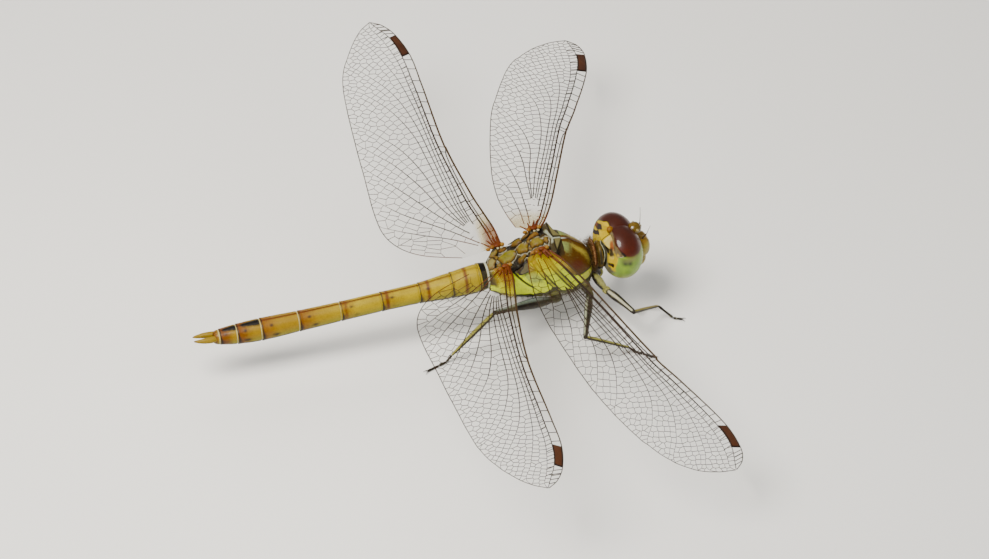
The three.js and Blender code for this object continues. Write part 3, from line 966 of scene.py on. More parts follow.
    def relief(self, grid: Array, fields: dict[str, Array]) -> Array:
        """Grooves along the side lines and soft bulges between them, in millimetres.

        Args:
            grid: the shape's points, rows by columns by 3.
            fields: the markings, of which outline is read.

        Returns:
            How far each point goes out.
        """
        q, z = self.q(grid), grid[..., 2]
        side = ease(0.6, 1.3, np.abs(grid[..., 1]))
        swells = ((5.15, 1.9, 0.07), (3.45, 1.5, 0.07), (1.95, 1.4, 0.06))
        plates = sum(rise * np.sin(np.pi * np.clip((q - start) / wide, 0, 1)) for start, wide, rise in swells)
        grooves = 0.075 * (bell(q, 5.0, 0.09) + bell(q, 3.45, 0.1) + bell(q, 2.0, 0.12))
        low = 0.06 * bell(z, 4.75, 0.09) * ease(6.8, 5.6, grid[..., 0])
        ridge = 0.09 * bell(grid[..., 1], 0, 0.06) * ease(5.2, 5.7, grid[..., 0]) * (z > 6)
        return side * (plates - grooves - low) - 0.04 * fields["outline"] + ridge

    def markings(self, grid: Array) -> dict[str, Array]:
        """Where each side marking lies, from q, the height and the place along the body.

        Args:
            grid: the shape's points, rows by columns by 3.

        Returns:
            Each marking's strength at every point.
        """
        x, y, z = grid[..., 0], grid[..., 1], grid[..., 2]
        q = self.q(grid)
        floor = 6.15 + 0.5 * np.clip((6.3 - x) / 1.0, 0, 1)
        dome = np.minimum(q - 5.8, (z - floor) * 0.9)
        outline = bell(dome, 0, 0.07) * (z > 5)
        in_dome = ease(-0.03, 0.05, dome)
        lift = np.clip((z - 4.6) / 3.0, 0, 1)
        wedge = bell(q, 2.4 - 1.07 * lift, 0.06 + 0.15 * lift)

        def line(at: float, wide: float) -> Array:
            """One seam at an even q, from the side's lower edge up."""
            return bell(q, at, wide) * ease(4.5, 4.9, z)

        lines = line(5.2, 0.11) + line(4.82, 0.09) + line(3.93, 0.1) + line(3.54, 0.09) + wedge
        lines = lines + 0.8 * line(5.88, 0.1) * ease(6.3, 6.0, z)
        # Dark line along the side's lower edge: partly a real dark edge, partly painted shade. The belly
        # below it is painted shade.
        hem = through(
            (-1.2, 0, 1.5, 2.6, 3.2, 3.6, 3.9, 4.22, 4.5, 5.1, 5.9, 6.3, 6.9, 7.6),
            (5.3, 5.08, 4.8, 4.62, 4.8, 5.1, 5.3, 5.36, 4.8, 4.68, 4.6, 5.05, 5.3, 5.5), x)
        low_edge = (
            ease(0.12, 0.0, z - hem + 0.04 * np.sin(9 * x))
            * ease(-0.8, -0.3, z - hem - 0.15 * np.sin(3 * x))
        )
        between = ease(4.8, 4.92, q) * ease(5.2, 5.08, q) + ease(3.5, 3.62, q) * ease(3.95, 3.83, q)
        grey = ease(2.0, 2.3, q) * ease(3.45, 3.2, q) * ease(5.9, 6.7, z)
        high = (
            ease(6.6, 5.6, x + 0.4 * np.abs(y)) * ease(1.75, 1.1, np.abs(y) + 0.2 * np.sin(3 * x))
            * ease(0.25, 0.6, np.abs(y))
        )
        high = high * in_dome
        ragged = z + 0.1 * np.sin(7 * x)
        # Painted shade, dark brown: along the top under the back plates, on the side beneath the hind wing
        # root, and over the rear end.
        roof = ease(8.2, 8.6, z) * (x < 5.1) + ease(1.72, 1.52, x) * ease(7.0, 7.3, ragged)
        roof = roof + 0.92 * ease(-0.3, -0.75, x + 0.5 * (6.4 - z) * (z < 6.4)) * ease(5.6, 6.1, ragged)
        core = np.exp(-(((x - 6.25) / 0.75) ** 2) - ((z - 7.15 + 0.35 * (x - 6.25)) / 0.55) ** 2) * in_dome
        ridge = np.abs(y) - 0.72 - 0.1 * (x - 6.4)
        stripe = in_dome * bell(ridge, 0, 0.27 + 0.12 * ease(6.4, 7.4, x)) * ease(5.5, 6.3, x)
        carina = bell(y, 0, 0.05) * in_dome
        arm = ease(0.13, 0.06, np.abs(y)) * ease(5.95, 5.2, x) * in_dome
        top_line = bell(x, 5.12, 0.05) * ease(1.4, 1.1, np.abs(y)) * (z > 7)
        return {
            "dome": in_dome, "outline": np.clip(outline + top_line, 0, 1),
            "lines": np.clip(lines * (1 - in_dome), 0, 1),
            "between": between * (1 - in_dome), "grey": grey, "high": high, "stripe": stripe, "core": core,
            "carina": carina * (1 - arm), "arm": arm, "low_edge": np.clip(low_edge, 0, 1),
            "roof": np.clip(roof, 0, 1),
            # The belly field is dark brown painted shade under the thorax.
            "belly": ease(-0.2, -0.55, z - hem), "front": ease(6.2, 6.8, x) * (1 - in_dome),
        }

    def side_finish(self) -> Material:
        """Yellow-green plates, a brown shoulder, black seams, a dark lower edge line that is partly painted
        shade, and dark brown painted shade on the belly, under the wing roots and along the top.

        Returns:
            The material.
        """
        return Cuticle(
            "thorax_cuticle", "c4d400", "d4e200",
            (
                Layer("grey", "738046", 0.8), Layer("between", "7c6a10", 0.6, 0.5),
                Layer("dome", "421603", 0.97, 0.5),
                Layer("core", "4a1c06", 0.9, 0.9), Layer("high", "6e7840", 0.9, 1.3),
                Layer("stripe", "90802e", 0.92, 0.8),
                Layer("front", "94903c", 0.75, 0.6),
                Layer("carina", "241209", 0.85), Layer("arm", "9aa39a", 0.9),
                # Painted shade on the top, under the wing roots and on the belly. The lower edge line is
                # partly painted shade.
                Layer("roof", "33260f", 1.0, 0.4), Layer("belly", "382c16", 0.9, 1.2),
                Layer("low_edge", "15110c", 0.95, 0.2), Layer("lines", "0e0b07", 1.0, 0.15),
                Layer("outline", "130f0a", 0.95, 0.2),
            ),
            roughness=0.46, gloss=0.05, shine=0.16,
        ).build()

    def neck(self, x: Array, a: Array) -> Array:
        """The collar's surface at place x and angle a.

        Top, bottom and width run through a few places. The rear plate adds a ruffled lobe:
        bell(x) * (0.2 + 0.6 * |sin 2a| + 0.35 * sin 9a + 0.2 * sin 17a), on its upper half alone.

        Args:
            x: place along the body.
            a: angle round the neck, with its top at a quarter turn.

        Returns:
            Points in the animal's own measure.
        """
        key = (7.45, 7.7, 7.85, 8.0, 8.14, 8.26, 8.42, 8.6, 8.74, 8.95)
        top, bottom, half = (through(key, v, x) for v in (
            (6.7, 7.05, 7.5, 7.72, 7.5, 7.2, 7.4, 7.42, 7.28, 6.4),
            (4.5, 4.5, 4.6, 4.7, 4.8, 4.9, 4.9, 5.0, 5.1, 5.3),
            (0.95, 1.1, 1.26, 1.32, 1.2, 1.0, 1.14, 1.18, 1.14, 0.5)))
        upper = ease(0.0, 0.5, np.sin(a))
        lobe = (
            bell(x, 7.97, 0.1) * upper
            * (0.2 + 0.6 * np.abs(np.sin(2 * a)) + 0.35 * np.sin(9 * a) + 0.2 * np.sin(17 * a))
        )
        low = 1 - 0.14 * ease(0.1, -0.5, np.sin(a)) * bell(x, 7.97, 0.2)
        y = half * np.cos(a) * (1 + 0.12 * lobe) * low
        z = (top + bottom) / 2 + (top - bottom) / 2 * np.sin(a) * (1 + 0.08 * lobe)
        return np.stack(np.broadcast_arrays(x, y, z), -1)

    def collar(self) -> Surface:
        """The neck: a low front ring with a pale arched rim, a waist, and an upright two-lobed plate
        behind it.

        Returns:
            The neck with its markings as fields.
        """
        x = np.linspace(7.45, 8.95, 150)[:, None]
        a = circle(140)[None, :]
        grid = self.neck(x, a)
        z, one = grid[..., 2], np.ones_like(a)
        shell = skin(grid, {
            "plate": ease(8.2, 8.08, x) * ease(7.72, 7.84, x) * ease(5.9, 6.3, z),
            "waist": np.maximum(ease(7.78, 7.68, x) + ease(8.68, 8.74, x), ease(5.9, 5.5, z)) * one,
            # A pinkish painted highlight across the rear plate's upper part.
            "fold": bell(x, 7.9, 0.045) * ease(6.1, 6.5, z),
            "oval": bell(x, 8.5, 0.1) * ease(7.32, 7.15, z) * ease(5.9, 6.2, z),
        })
        turn = np.radians(np.linspace(-84, 84, 70))
        rim = np.stack([
            8.62 + 0.08 * np.cos(turn) + 0.16 * np.sin(2 * np.abs(turn)), 1.2 * np.sin(turn),
            6.2 + 1.15 * np.cos(turn),
        ], -1)
        return Surface.joined([shell, rod(rim, 0.016 + 0.024 * np.cos(turn) ** 0.5, 10).with_fields(band=1)])

    def collar_finish(self) -> Material:
        """Olive brown front ring with a white edge, black waist, and a brown rear plate with a pinkish
        painted highlight across its upper part.

        Returns:
            The material.
        """
        return Cuticle(
            "collar_cuticle", "4a3a12", "604c1a",
            (
                Layer("plate", "50260a", 0.92, 1.4), Layer("fold", "8a6844", 0.9, 0.9),
                Layer("oval", "2a261c", 0.95, 0.5),
                Layer("waist", "120d08", 0.95, 0.5), Layer("band", "8e8e76", 1.0),
            ), roughness=0.5, gloss=0.04, shine=0.15, blotch=2200.0,
        ).build()

    def hood(self, x: Array, y: Array) -> Array:
        """Height of the back under its plates: a smooth ridge line, a little lower beside the middle."""
        ridge = through((-1.25, -0.9, 0.47, 1.81, 2.93, 4.1, 5.2), (6.95, 7.3, 7.68, 8.4, 8.8, 8.98, 8.84), x)
        return ridge - 0.05 * np.sin(np.pi * np.clip(np.abs(y) / 1.3, 0, 1)) ** 2

    def wedge(self, x: Array, y: Array) -> Array:
        """Distance inside the three-cornered plate before the fore wings: the least of those to its
        edges.

        Args:
            x: places along the body.
            y: places across it.

        Returns:
            The distance, less than 0 outside.
        """
        inside = np.full(np.broadcast(x, y).shape, 9.0)
        side = np.abs(y)
        corners = np.array(self.crest)
        for a, b in zip(corners, np.roll(corners, -1, 0)):
            edge = unit(b - a)
            inside = np.minimum(inside, (side - a[1]) * edge[0] - (x - a[0]) * edge[1])
        return inside

    def back(self) -> Surface:
        """The back between the wings as one skin over x and y: rounded plates with sunk gaps.

        Each plate is a blunt oval. With r the distance from its middle in its own radii, its height is h
        * sqrt(1 - r^3), and the highest plate wins. The three-cornered plates rise towards their outer
        ends as a crest. Fields: gap in the seams, lip just inside them, the winning plate's tone, and the
        pits, the three-cornered plates and the bluish bands between them.

        Returns:
            The back with its markings as fields.
        """
        x = np.linspace(-1.25, 5.25, 260)[:, None]
        across = np.linspace(-1, 1, 150)[None, :]
        half = through(
            (-1.25, -0.3, 1.1, 2.6, 3.4, 4.0, 4.35, 4.8, 5.25),
            (0.85, 1.5, 1.38, 1.45, 1.62, 1.85, 2.0, 1.28, 0.7), x
        )
        y = across * half
        best, near = np.zeros(np.broadcast(x, y).shape), np.full(np.broadcast(x, y).shape, 9.0)
        tones = np.zeros(best.shape + (3,))
        for px, py, rx, ry, turn, height, brown, ruddy, pale in self.plates:
            for way in (1, -1) if py else (1,):
                c, d = cos_sin(turn)
                d = d * way
                dx = x - px + 0.06 * np.sin(5 * y + 3 * x + px) + 0.035 * np.sin(11 * y + 2 * px)
                dy = y - way * py + 0.05 * np.sin(6 * x + 4 * px) + 0.03 * np.sin(13 * x + py)
                r = (
                    np.abs((dx * c + dy * d) / rx) ** 2.3 + np.abs((dy * c - dx * d) / ry) ** 2.3
                ) ** (1 / 2.3)
                dome = height * np.sqrt(np.clip(1 - r ** 3, 0, 1))
                wins = dome > best
                best = np.where(wins, dome, best)
                tones = np.where(wins[..., None], np.array([brown, ruddy, pale]), tones)
                near = np.minimum(near, np.abs(r - 1) * min(rx, ry))
        # The low ground between the plates is darkened as painted shade. The pits below are painted shade in
        # the hollows too.
        ground = ease(0.06, 0.0, best)
        ridge = bell(near, 0.075, 0.032) * ground
        pits = np.zeros(best.shape)
        for px, py, rx, ry in self.hollows:
            pits = np.maximum(pits, ease(1.3, 0.8, np.hypot((x - px) / rx, (np.abs(y) - py) / ry)))
        wedge = self.wedge(x, y)
        lift = 0.28 * ease(-0.12, 0.12, wedge) + 0.2 * ease(0.9, 2.0, np.abs(y)) * ease(3.8, 4.2, x)
        arm = np.abs((x - 4.42) + 0.28 * np.abs(y)) - 0.05 - 0.08 * np.abs(y)
        short = np.where(y > 0, ease(1.35, 0.9, y), ease(0.6, 0.35, -y))
        band = ease(0.06, -0.02, arm) * short * ease(0.02, -0.04, wedge)
        band = np.maximum(band, ease(0.13, 0.06, np.abs(y)) * ease(4.2, 4.4, x))
        edge = ease(1.0, 0.9, np.abs(across)) * np.ones_like(x) * ease(5.25, 5.1, x)
        knuckle = (
            bell(x, 3.02, 0.62) * ease(0.95, 1.45, np.abs(y))
            + bell(x, -0.2, 0.6) * ease(0.9, 1.4, np.abs(y))
        )
        pits = np.maximum(pits, knuckle * ease(0.1, 0.4, knuckle))
        z = (
            self.hood(x, y)
            + (best * (1 - band) * (1 - knuckle) - 0.16 * pits * ground * (1 - knuckle) + lift + 0.08 * band)
            * edge
            - 0.25 * (1 - edge) + 0.52 * knuckle
        )
        over = np.stack(np.broadcast_arrays(x, y, z), -1)
        under = over[:, ::-1] - np.array([0, 0, 0.35])
        fields = {
            "gap": np.clip(bell(near, 0, 0.03), 0, 1) * (1 - band) * 0.7,
            "ridge": ridge * (1 - band) * (1 - np.clip(knuckle, 0, 1)),
            "hem": ease(0.22, 0.03, near) * (best > 0.02), "brown": tones[..., 0], "ruddy": tones[..., 1],
            "pale": tones[..., 2], "ground": ground * (1 - band),
            "pit": np.clip(pits * ground + 1 - edge, 0, 1) * (1 - band), "crest": ease(-0.02, 0.04, wedge),
            "rim": np.clip(bell(wedge, 0, 0.05) + bell(x, 5.2, 0.05), 0, 1), "band": band,
        }
        doubled = {n: np.concatenate([f, f[:, ::-1]], 1) for n, f in fields.items()}
        return skin(np.concatenate([over, under], 1), doubled)

    def back_finish(self) -> Material:
        """Olive ochre domes, some browner, with pale lips, grey crests and bluish bands. The pits and the low
        ground between the domes are darkened as painted shade.

        Returns:
            The material.
        """
        return Cuticle(
            "back_plates", "585208", "746a1c",
            (
                # The ground and pit layers are painted shade between the plates and in the hollows.
                Layer("ground", "2c2218", 0.9, 1.2), Layer("brown", "4c340e", 0.85, 0.4),
                Layer("ruddy", "6c3404", 0.85, 0.5),
                Layer("pale", "807446", 0.8, 0.4), Layer("hem", "5a3406", 0.6, 1.2),
                Layer("gap", "1a1009", 0.85, 2.0), Layer("ridge", "8e8a74", 0.9, 1.5),
                Layer("pit", "100a07", 0.92, 0.25), Layer("crest", "5f5832", 0.95, 0.2),
                Layer("band", "868a78", 0.9, 0.7),
                Layer("rim", "130c07", 0.95, 0.2),
            ), 0.52, pit=1.3, gloss=0.02, blotch=1500.0, shine=0.14,
        ).build()

    def scales(self) -> Surface:
        """A thin three-cornered scale on each side, below and between the wing roots.

        Its outline is a circle squeezed by 1 / (1 + 0.3 cos 3a) along three corners, laid on the side and
        domed by sqrt(1 - r^2).

        Returns:
            All the scales in one.
        """
        made = []
        r = np.sin(np.linspace(0.03, math.pi - 0.03, 44))[:, None]
        face = np.sign(np.linspace(1, -1, 44))[:, None]
        a = circle(60)[None, :]
        reach = 0.5 / (1 + 0.3 * np.cos(3 * (a - 0.35)))
        for side in Side:
            along, up = np.array([0.93, 0.0, 0.37]), np.array([-0.25, -0.55 * side.value, 0.8])
            out = unit(np.cross(along, up)) * side.value * -1
            out = out * np.sign(out[1] * side.value)
            middle = np.array([1.75, side.value * 1.74, 7.7])
            flat = r * reach
            grid = (
                middle + (flat * np.cos(a))[..., None] * along * 1.25
                + (flat * np.sin(a))[..., None] * up * 0.85
            )
            grid = (
                grid
                + out * (0.12 + 0.06 * face * np.sqrt(np.clip(1 - r * r, 0, 1)) * np.ones_like(a))[..., None]
            )
            made.append(skin(grid, {"edge": ease(0.74, 0.84, r)}))
        knobs = [
            ball((2.42, side.value * 1.62, 8.12), (0.17, 0.15, 0.15), 16, 22).with_fields(knob=1)
            for side in Side
        ]
        return Surface.joined(made + knobs)

    def hinges(self) -> Surface:
        """The knuckles where each wing leaves the body: a pale knob, a long ruddy plate and struts to the
        veins. Each knob but the white ones is darkened on its lower part as painted shade.

        Returns:
            The knuckles of all four wings in one.
        """
        made = []
        for side in Side:
            flip = np.array([1, side.value, 1])
            for x, z, sweep, drop in ((3.2, 9.3, 0.35, -0.1), (-0.02, 8.04, -0.1, 0.02)):
                root = np.array([x, self.hinge_side, z])
                for place, radii, pale in self.knuckles:
                    middle = (root + place) * flip
                    egg = ball(middle, radii, 18, 24, 0.85)
                    # The lower part of each knob, but not the white ones, is darkened as painted shade.
                    low = ease(0.05, -0.6, (egg.points[:, 2] - middle[2]) / radii[2]) * (pale < 1.5)
                    made.append(egg.with_fields(edge=low, pale=min(pale, 1) * 0.8, white=pale > 1.5))
                for start, end, thick in (
                    ((0.15, 0.1, 0.0), (0.2 + sweep, 1.0, drop), 0.15),
                    ((-0.05, 0.2, -0.05), (-0.12 + sweep, 1.0, drop - 0.04), 0.12),
                    ((-0.35, 0.2, -0.12), (-0.7 + sweep, 0.9, drop - 0.1), 0.09),
                    ((-0.6, 0.1, -0.2), (-1.25 + 0.5 * sweep, 0.75, drop - 0.14), 0.08),
                ):
                    t = np.linspace(0, 1, 14)[:, None]
                    a, b = (root + start) * flip, (root + end) * flip
                    made.append(
                        rod(a + (b - a) * t, thick * (1 - 0.45 * t[:, 0]), 10).with_fields(edge=0.25, pale=0)
                    )
        return Surface.joined(made)


# ---- head


@dataclass
class Head:
    """Capsule, compound eyes, face plates, crown knob and feelers."""

    centre: tuple[float, float, float] = (10.5, 0.0, 6.62)
    eye_radii: tuple[float, float, float] = (1.86, 2.36, 2.36)
    eye_offset: tuple[float, float, float] = (-0.3, 0.78, 0.22)
    turn: float = 5.0
    pivot: float = 9.6
    rear_at: float = 8.6
    rear_height: float = 5.3
    rear_lean: float = 0.25

    def turned(self, points: Array) -> Array:
        """The head's small turn to its left, about an upright line through the neck.

        Args:
            points: places in millimetres, one row each.

        Returns:
            The same places on the turned head.
        """
        c, s = cos_sin(self.turn)
        x, y = points[:, 0] - self.pivot, points[:, 1]
        return np.stack([self.pivot + c * x - s * y, s * x + c * y, points[:, 2]], -1)

    def place(self, name: str, surface: Surface, finish: Material, slot: str, nodes: Sequence[str]) -> None:
        """Places a piece of the head, turned with it."""
        place_piece(name, surface.moved(self.turned), finish, slot, nodes)

    def build(self) -> None:
        """Builds and dresses every piece of the head."""
        eye = EyeFinish().build()
        for side in Side:
            self.place(f"compound_eye_{side.word}", self.eye(side), eye, "eye", [f"eye_{side.word}"])
        self.place("head_capsule", self.capsule(), self.capsule_finish(), "head_cuticle", ["head"])
        face = self.face_finish()
        self.place("brow_plate", self.brow(), face, "face", ["frons"])
        self.place("lip_plate", self.lip(), face, "face", ["labrum"])
        self.place("mouth_plates", self.mouth(), face, "face", ["mouthparts"])
        # The crown knob's base layer is painted shade under the knob.
        crown = Cuticle(
            "crown_knob", "493706", "5c450a", (Layer("lens", "857440", 0.8), Layer("base", "1d120b", 0.9)),
            0.25, gloss=0.6
        )
        self.place("crown_knob", self.crown(), crown.build(), "amber_cuticle", ["vertex"])
        feeler = Cuticle("feeler", "2a1e12", "4a3418", (), 0.4)
        for side in Side:
            self.place(
                f"feeler_{side.word}", self.feeler(side), feeler.build(), "leg", [f"antenna_{side.word}"]
            )

    def eye(self, side: Side) -> Surface:
        """A half-egg: points behind the leaning rear plane are moved forward onto it.

        Fields: cap above the waving border height, crown near the top, low near the bottom, pupil round
        the dark false pupils, rear behind the eye's edge, and rim, streak, mark and notch along that
        edge.

        Args:
            side: which eye.

        Returns:
            The eye with its markings as fields.
        """
        middle = np.array(self.centre) + np.array(self.eye_offset) * (1, side.value, 1)
        b = np.linspace(0.02, math.pi - 0.02, 150)[:, None]
        a = circle(220)[None, :]
        shape = np.stack([np.cos(a) * np.sin(b), np.sin(a) * np.sin(b), np.cos(b) * np.ones_like(a)], -1)
        grid = middle + shape * np.array(self.eye_radii)
        out = side.value * grid[..., 1]
        back = 0.3 * (side is Side.LEFT) * ease(0.1, 0.8, out)
        grid[..., 1] = side.value * np.maximum(out, -0.02 + 0.1 * np.minimum(0, out + 0.02))
        plane = self.rear_at + self.rear_lean * (grid[..., 2] - self.rear_height) - back
        grid[..., 0] += np.maximum(0, plane - grid[..., 0]) * 0.97
        x, z = grid[..., 0], grid[..., 2]
        near = side is Side.RIGHT
        above, below = self.margin(side, np.abs(grid[..., 1]), z)
        below = np.maximum(below, plane + 0.07)
        behind = x - below - (above - below) * ease(7.86, 8.02, z)
        out = unit((grid - middle) / np.array(self.eye_radii) ** 2)
        grid = grid - out * (0.05 * ease(0.02, -0.1, behind) + 0.04 * bell(behind, 0, 0.05))[..., None]
        border = through((8.5, 9.47, 10.07, 11.28, 12.6), (8.5, 8.3, 7.98, 7.85, 8.0), x)
        spots = np.zeros_like(x)
        for sx, sz in ((9.78, 7.4), (10.24, 7.34)):
            spots = spots + np.exp(-(((x - sx) / 0.25) ** 2) - ((z - sz) / 0.3) ** 2)
        haze = np.exp(-(((x - 10.4) / 1.0) ** 2) - ((z - 7.66) / 0.26) ** 2)
        band = ease(-0.27, -0.16, behind) * ease(0.03, -0.02, behind) * ease(7.7, 7.95, z)
        wide = np.abs(grid[..., 1])
        notch = bell(behind, -0.02, 0.05) * (z > 7.6)
        if near:
            notch = np.clip(1.6 * bell(z, 8.12, 0.2) * bell(behind, 0.07, 0.09) * (wide > 1.9), 0, 1)
        return skin(grid, {
            "cap": ease(-0.5, 0.32, z - border), "crown": ease(8.3, 9.1, z) * 0.6, "haze": haze * 0.6,
            "low": ease(6.4, 4.8, z), "pupil": np.clip(spots, 0, 1) * 0.9, "rim": band if near else 0 * band,
            "rear": ease(0.02 + 0.3 * ease(6.9, 6.2, z), -0.03, behind), "mark": self.marks(grid),
            "rust": ease(1.5, 2.1, wide) * (z > 7.5) * (not near), "notch": notch,
            "streak": bell(behind, -0.34, 0.07) * ease(8.0, 8.2, z) * ease(8.9, 8.6, z) * near,
            "face": ease(11.7, 11.95, x) * 0.7, "shade": self.shade(grid),
        })

    @staticmethod
    def margin(side: Side, out: Array, z: Array) -> tuple[Array, Array]:
        """The eye's rear edge as a place along the body: by distance from the middle above, by height below.

        Args:
            side: which eye; the far one is set further back.
            out: distance from the middle plane.
            z: height.

        Returns:
            The edge for the eye's upper part and the edge for its lower part.
        """
        near = through((0, 0.9, 1.5, 2.1, 2.5, 2.85, 3.2), (9.55, 9.45, 9.37, 9.42, 9.58, 9.84, 9.9), out)
        far = through((0, 0.85, 1.15, 2.05, 2.6, 3.2), (9.58, 9.58, 9.36, 9.16, 9.08, 9.0), out)
        low = through((4.4, 5.9, 6.6, 7.4, 7.95), (8.75, 8.82, 8.9, 9.1, 9.34), z)
        return (far, 8.36 + 0.25 * (z - 5.3)) if side is Side.LEFT else (near, low)

    @staticmethod
    def marks(points: Array) -> Array:
        """Dark patches behind each eye: slanting blunt ovals by their side and height.

        Args:
            points: places in millimetres, one row each.

        Returns:
            How dark each is, 0 to 1.
        """
        y, z = np.abs(points[..., 1]), points[..., 2]
        total = np.zeros(y.shape)
        far, near = points[..., 1] > 0, points[..., 1] < 0
        for at, high, wide, tall, lean, here in (
            (1.7, 8.04, 0.9, 0.27, -20, far), (1.75, 7.3, 0.78, 0.19, -24, far),
            (1.56, 7.68, 0.38, 0.22, -35, near), (2.0, 6.68, 0.4, 0.16, 28, near),
        ):
            c, d = cos_sin(lean)
            along, over = c * (y - at) + d * (z - high), c * (z - high) - d * (y - at)
            over = over + 0.05 * np.sin(5 * along + high)
            total = total + np.exp(-(np.abs(along / wide) ** 3) - np.abs(over / tall) ** 3) * 1.25 * here
        return np.clip(total, 0, 1)

    @staticmethod
    def shade(points: Array) -> Array:
        """The dusky hollow behind the head, next to the neck and along the lower rim.

        Args:
            points: places in millimetres, one row each.

        Returns:
            How dusky each is, 0 to 1.
        """
        y, z = np.abs(points[..., 1]), points[..., 2]
        neck = ease(0.06, -0.1, y - 0.56 - 0.6 * (7.3 - z)) * ease(7.5, 7.3, z)
        return np.maximum(neck, ease(6.42, 6.2, z))

    def capsule(self) -> Surface:
        """The rounded back of the head: an egg hollowed a little behind, with dark bands by height and
        side.

        Returns:
            The back of the head with its markings as fields.
        """
        middle = np.array(self.centre) + np.array([-0.45, 0, -0.12])
        egg = ball(middle, (1.72, 2.62, 2.2), 110, 140)
        x, y, z = (egg.points[:, i] for i in range(3))
        off = z - middle[2]
        dish = ease(7.92, 7.7, z) * ease(1.75, 1.25, np.abs(y)) * (x < middle[0])
        egg.points[:, 0] = x + dish * np.maximum(0, 9.05 - x)
        groove = bell(y + 0.05 + 0.25 * (z - 7.86), 0, 0.05) * (x < middle[0]) * ease(8.75, 8.6, z)
        egg.points[:, 0] += 0.06 * groove
        black = ease(1.35, 1.0, np.abs(y)) * dish + groove * ease(7.7, 7.85, z) + self.marks(egg.points)
        black = black + bell(off, -0.95, 0.16) * ease(1.0, 1.4, np.abs(y))
        amber = ease(0.56, 0.42, np.hypot(y, (z - 8.95) * 1.1))
        # Painted highlight: a whitish yellow band and a paler patch on the near side alone, with none on the
        # far side.
        cream = bell(y, -0.42, 0.13) * ease(7.9, 8.1, z) * ease(8.6, 8.4, z)
        along, over = 0.79 * (y + 1.24) + 0.61 * (z - 8.13), 0.79 * (z - 8.13) - 0.61 * (y + 1.24)
        rust = np.exp(-((over / 0.15) ** 4) - (along / 0.5) ** 4)
        pale = cream + ease(-0.45, -0.7, y) * ease(7.0, 7.5, z) * 0.6
        egg.with_fields(
            black=np.clip(black, 0, 1), cream=np.clip(pale, 0, 1), shade=self.shade(egg.points),
            amber=amber * 0.9, rust=rust,
        )
        knob = ball((9.5, 0, 8.86), (0.3, 0.3, 0.3), 24, 30)
        return Surface.joined([egg, knob.with_fields(knob=1)])

    def capsule_finish(self) -> Material:
        """Yellow with black bands, an amber top and a pale painted highlight on the near side alone.

        Returns:
            The material.
        """
        return Cuticle(
            "head_cuticle", "a28802", "b09608", (
                Layer("cream", "b8a868", 0.9, 0.3), Layer("amber", "2e1405", 0.95),
                Layer("knob", "6c4408", 0.95, 1.2), Layer("rust", "7c4204", 1.0, 0.4),
                Layer("shade", "58523a", 0.95, 0.5), Layer("black", "1c0f07", 0.95, 0.2),
            ), 0.5, gloss=0.03, shine=0.15,
        ).build()

    def face_finish(self) -> Material:
        """Greenish ochre plates, darker in the seams.

        Returns:
            The material.
        """
        return Cuticle(
            "face_plates", "7c6c20", "8a7c26",
            (Layer("seam", "241a0c", 0.85), Layer("high", "77500c", 0.8, 0.4)), 0.36,
            gloss=0.2,
        ).build()

    def plate(self, offset: Sequence[float], radii: Sequence[float], power: float = 0.9) -> Surface:
        """One face plate: a blunt egg off the head's middle, dark where it goes into the head.

        Args:
            offset: its middle from the head's own.
            radii: its half-sizes.
            power: how blunt it is.

        Returns:
            The plate with its field dark.
        """
        middle = np.array(self.centre) + np.array(offset)
        egg = ball(middle, radii, 56, 72, power)
        return egg.with_fields(seam=ease(middle[0] + 0.05, middle[0] - 0.25, egg.points[:, 0]) * 0.6)

    def brow(self) -> Surface:
        """The swollen brow with a shallow groove down its middle.

        Returns:
            The brow.
        """
        egg = self.plate((1.5, 0, -0.12), (1.02, 1.3, 0.98), 0.85)
        dent = 0.07 * bell(egg.points[:, 1], 0, 0.16) * (egg.points[:, 2] > self.centre[2])
        egg.points[:, 2] -= dent
        return egg.with_fields(high=ease(6.9, 7.4, egg.points[:, 2]))

    def lip(self) -> Surface:
        """The upper lip under the brow, with a groove across.

        Returns:
            The lip.
        """
        egg = self.plate((1.22, 0, -1.3), (0.98, 1.22, 0.8))
        egg.points[:, 0] -= 0.05 * bell(egg.points[:, 2], 5.45, 0.06)
        egg.fields["seam"] = np.clip(egg.fields["seam"] + bell(egg.points[:, 2], 5.45, 0.05), 0, 1)
        return egg

    def mouth(self) -> Surface:
        """The mouth: a middle plate and two side jaws.

        Returns:
            The mouth's three plates in one.
        """
        parts = [self.plate((0.42, 0, -1.82), (1.12, 0.9, 0.72))]
        parts += [self.plate((0.5, s.value * 0.85, -1.7), (0.85, 0.5, 0.62)) for s in Side]
        return Surface.joined(parts)

    def crown(self) -> Surface:
        """The knob between the eyes with three little round lenses, its lower part darkened as painted shade.

        Returns:
            The knob and its lenses in one.
        """
        middle = np.array(self.centre) + np.array([1.2, 0, 1.72])
        egg = ball(middle, (0.62, 0.6, 0.55), 40, 52)
        # The base field darkens the knob's lower part as painted shade under it.
        parts = [egg.with_fields(base=ease(middle[2] - 0.1, middle[2] - 0.4, egg.points[:, 2]))]
        for x, y, z in ((0.52, 0, 0.1), (0.1, 0.52, 0.16), (0.1, -0.52, 0.16)):
            parts.append(ball(middle + (x, y, z), (0.15, 0.15, 0.15), 14, 18).with_fields(lens=1))
        return Surface.joined(parts)

    def feeler(self, side: Side) -> Surface:
        """Two thick joints and a long bristle.

        Args:
            side: which of the two.

        Returns:
            The feeler.
        """
        key = np.array(
            [(1.72, 0.6, 0.9), (1.95, 0.72, 1.3), (2.05, 0.85, 1.6), (2.13, 1.02, 2.15), (2.2, 1.25, 2.75)]
        )
        t = np.linspace(0, 1, 34)
        path = np.stack([through(np.linspace(0, 1, 5), key[:, i], t) for i in range(3)], -1)
        path[:, 1] *= side.value
        radius = through((0, 0.2, 0.35, 0.42, 1), (0.09, 0.085, 0.07, 0.035, 0.015), t)
        return rod(np.array(self.centre) + path, radius, 10)


# ---- legs


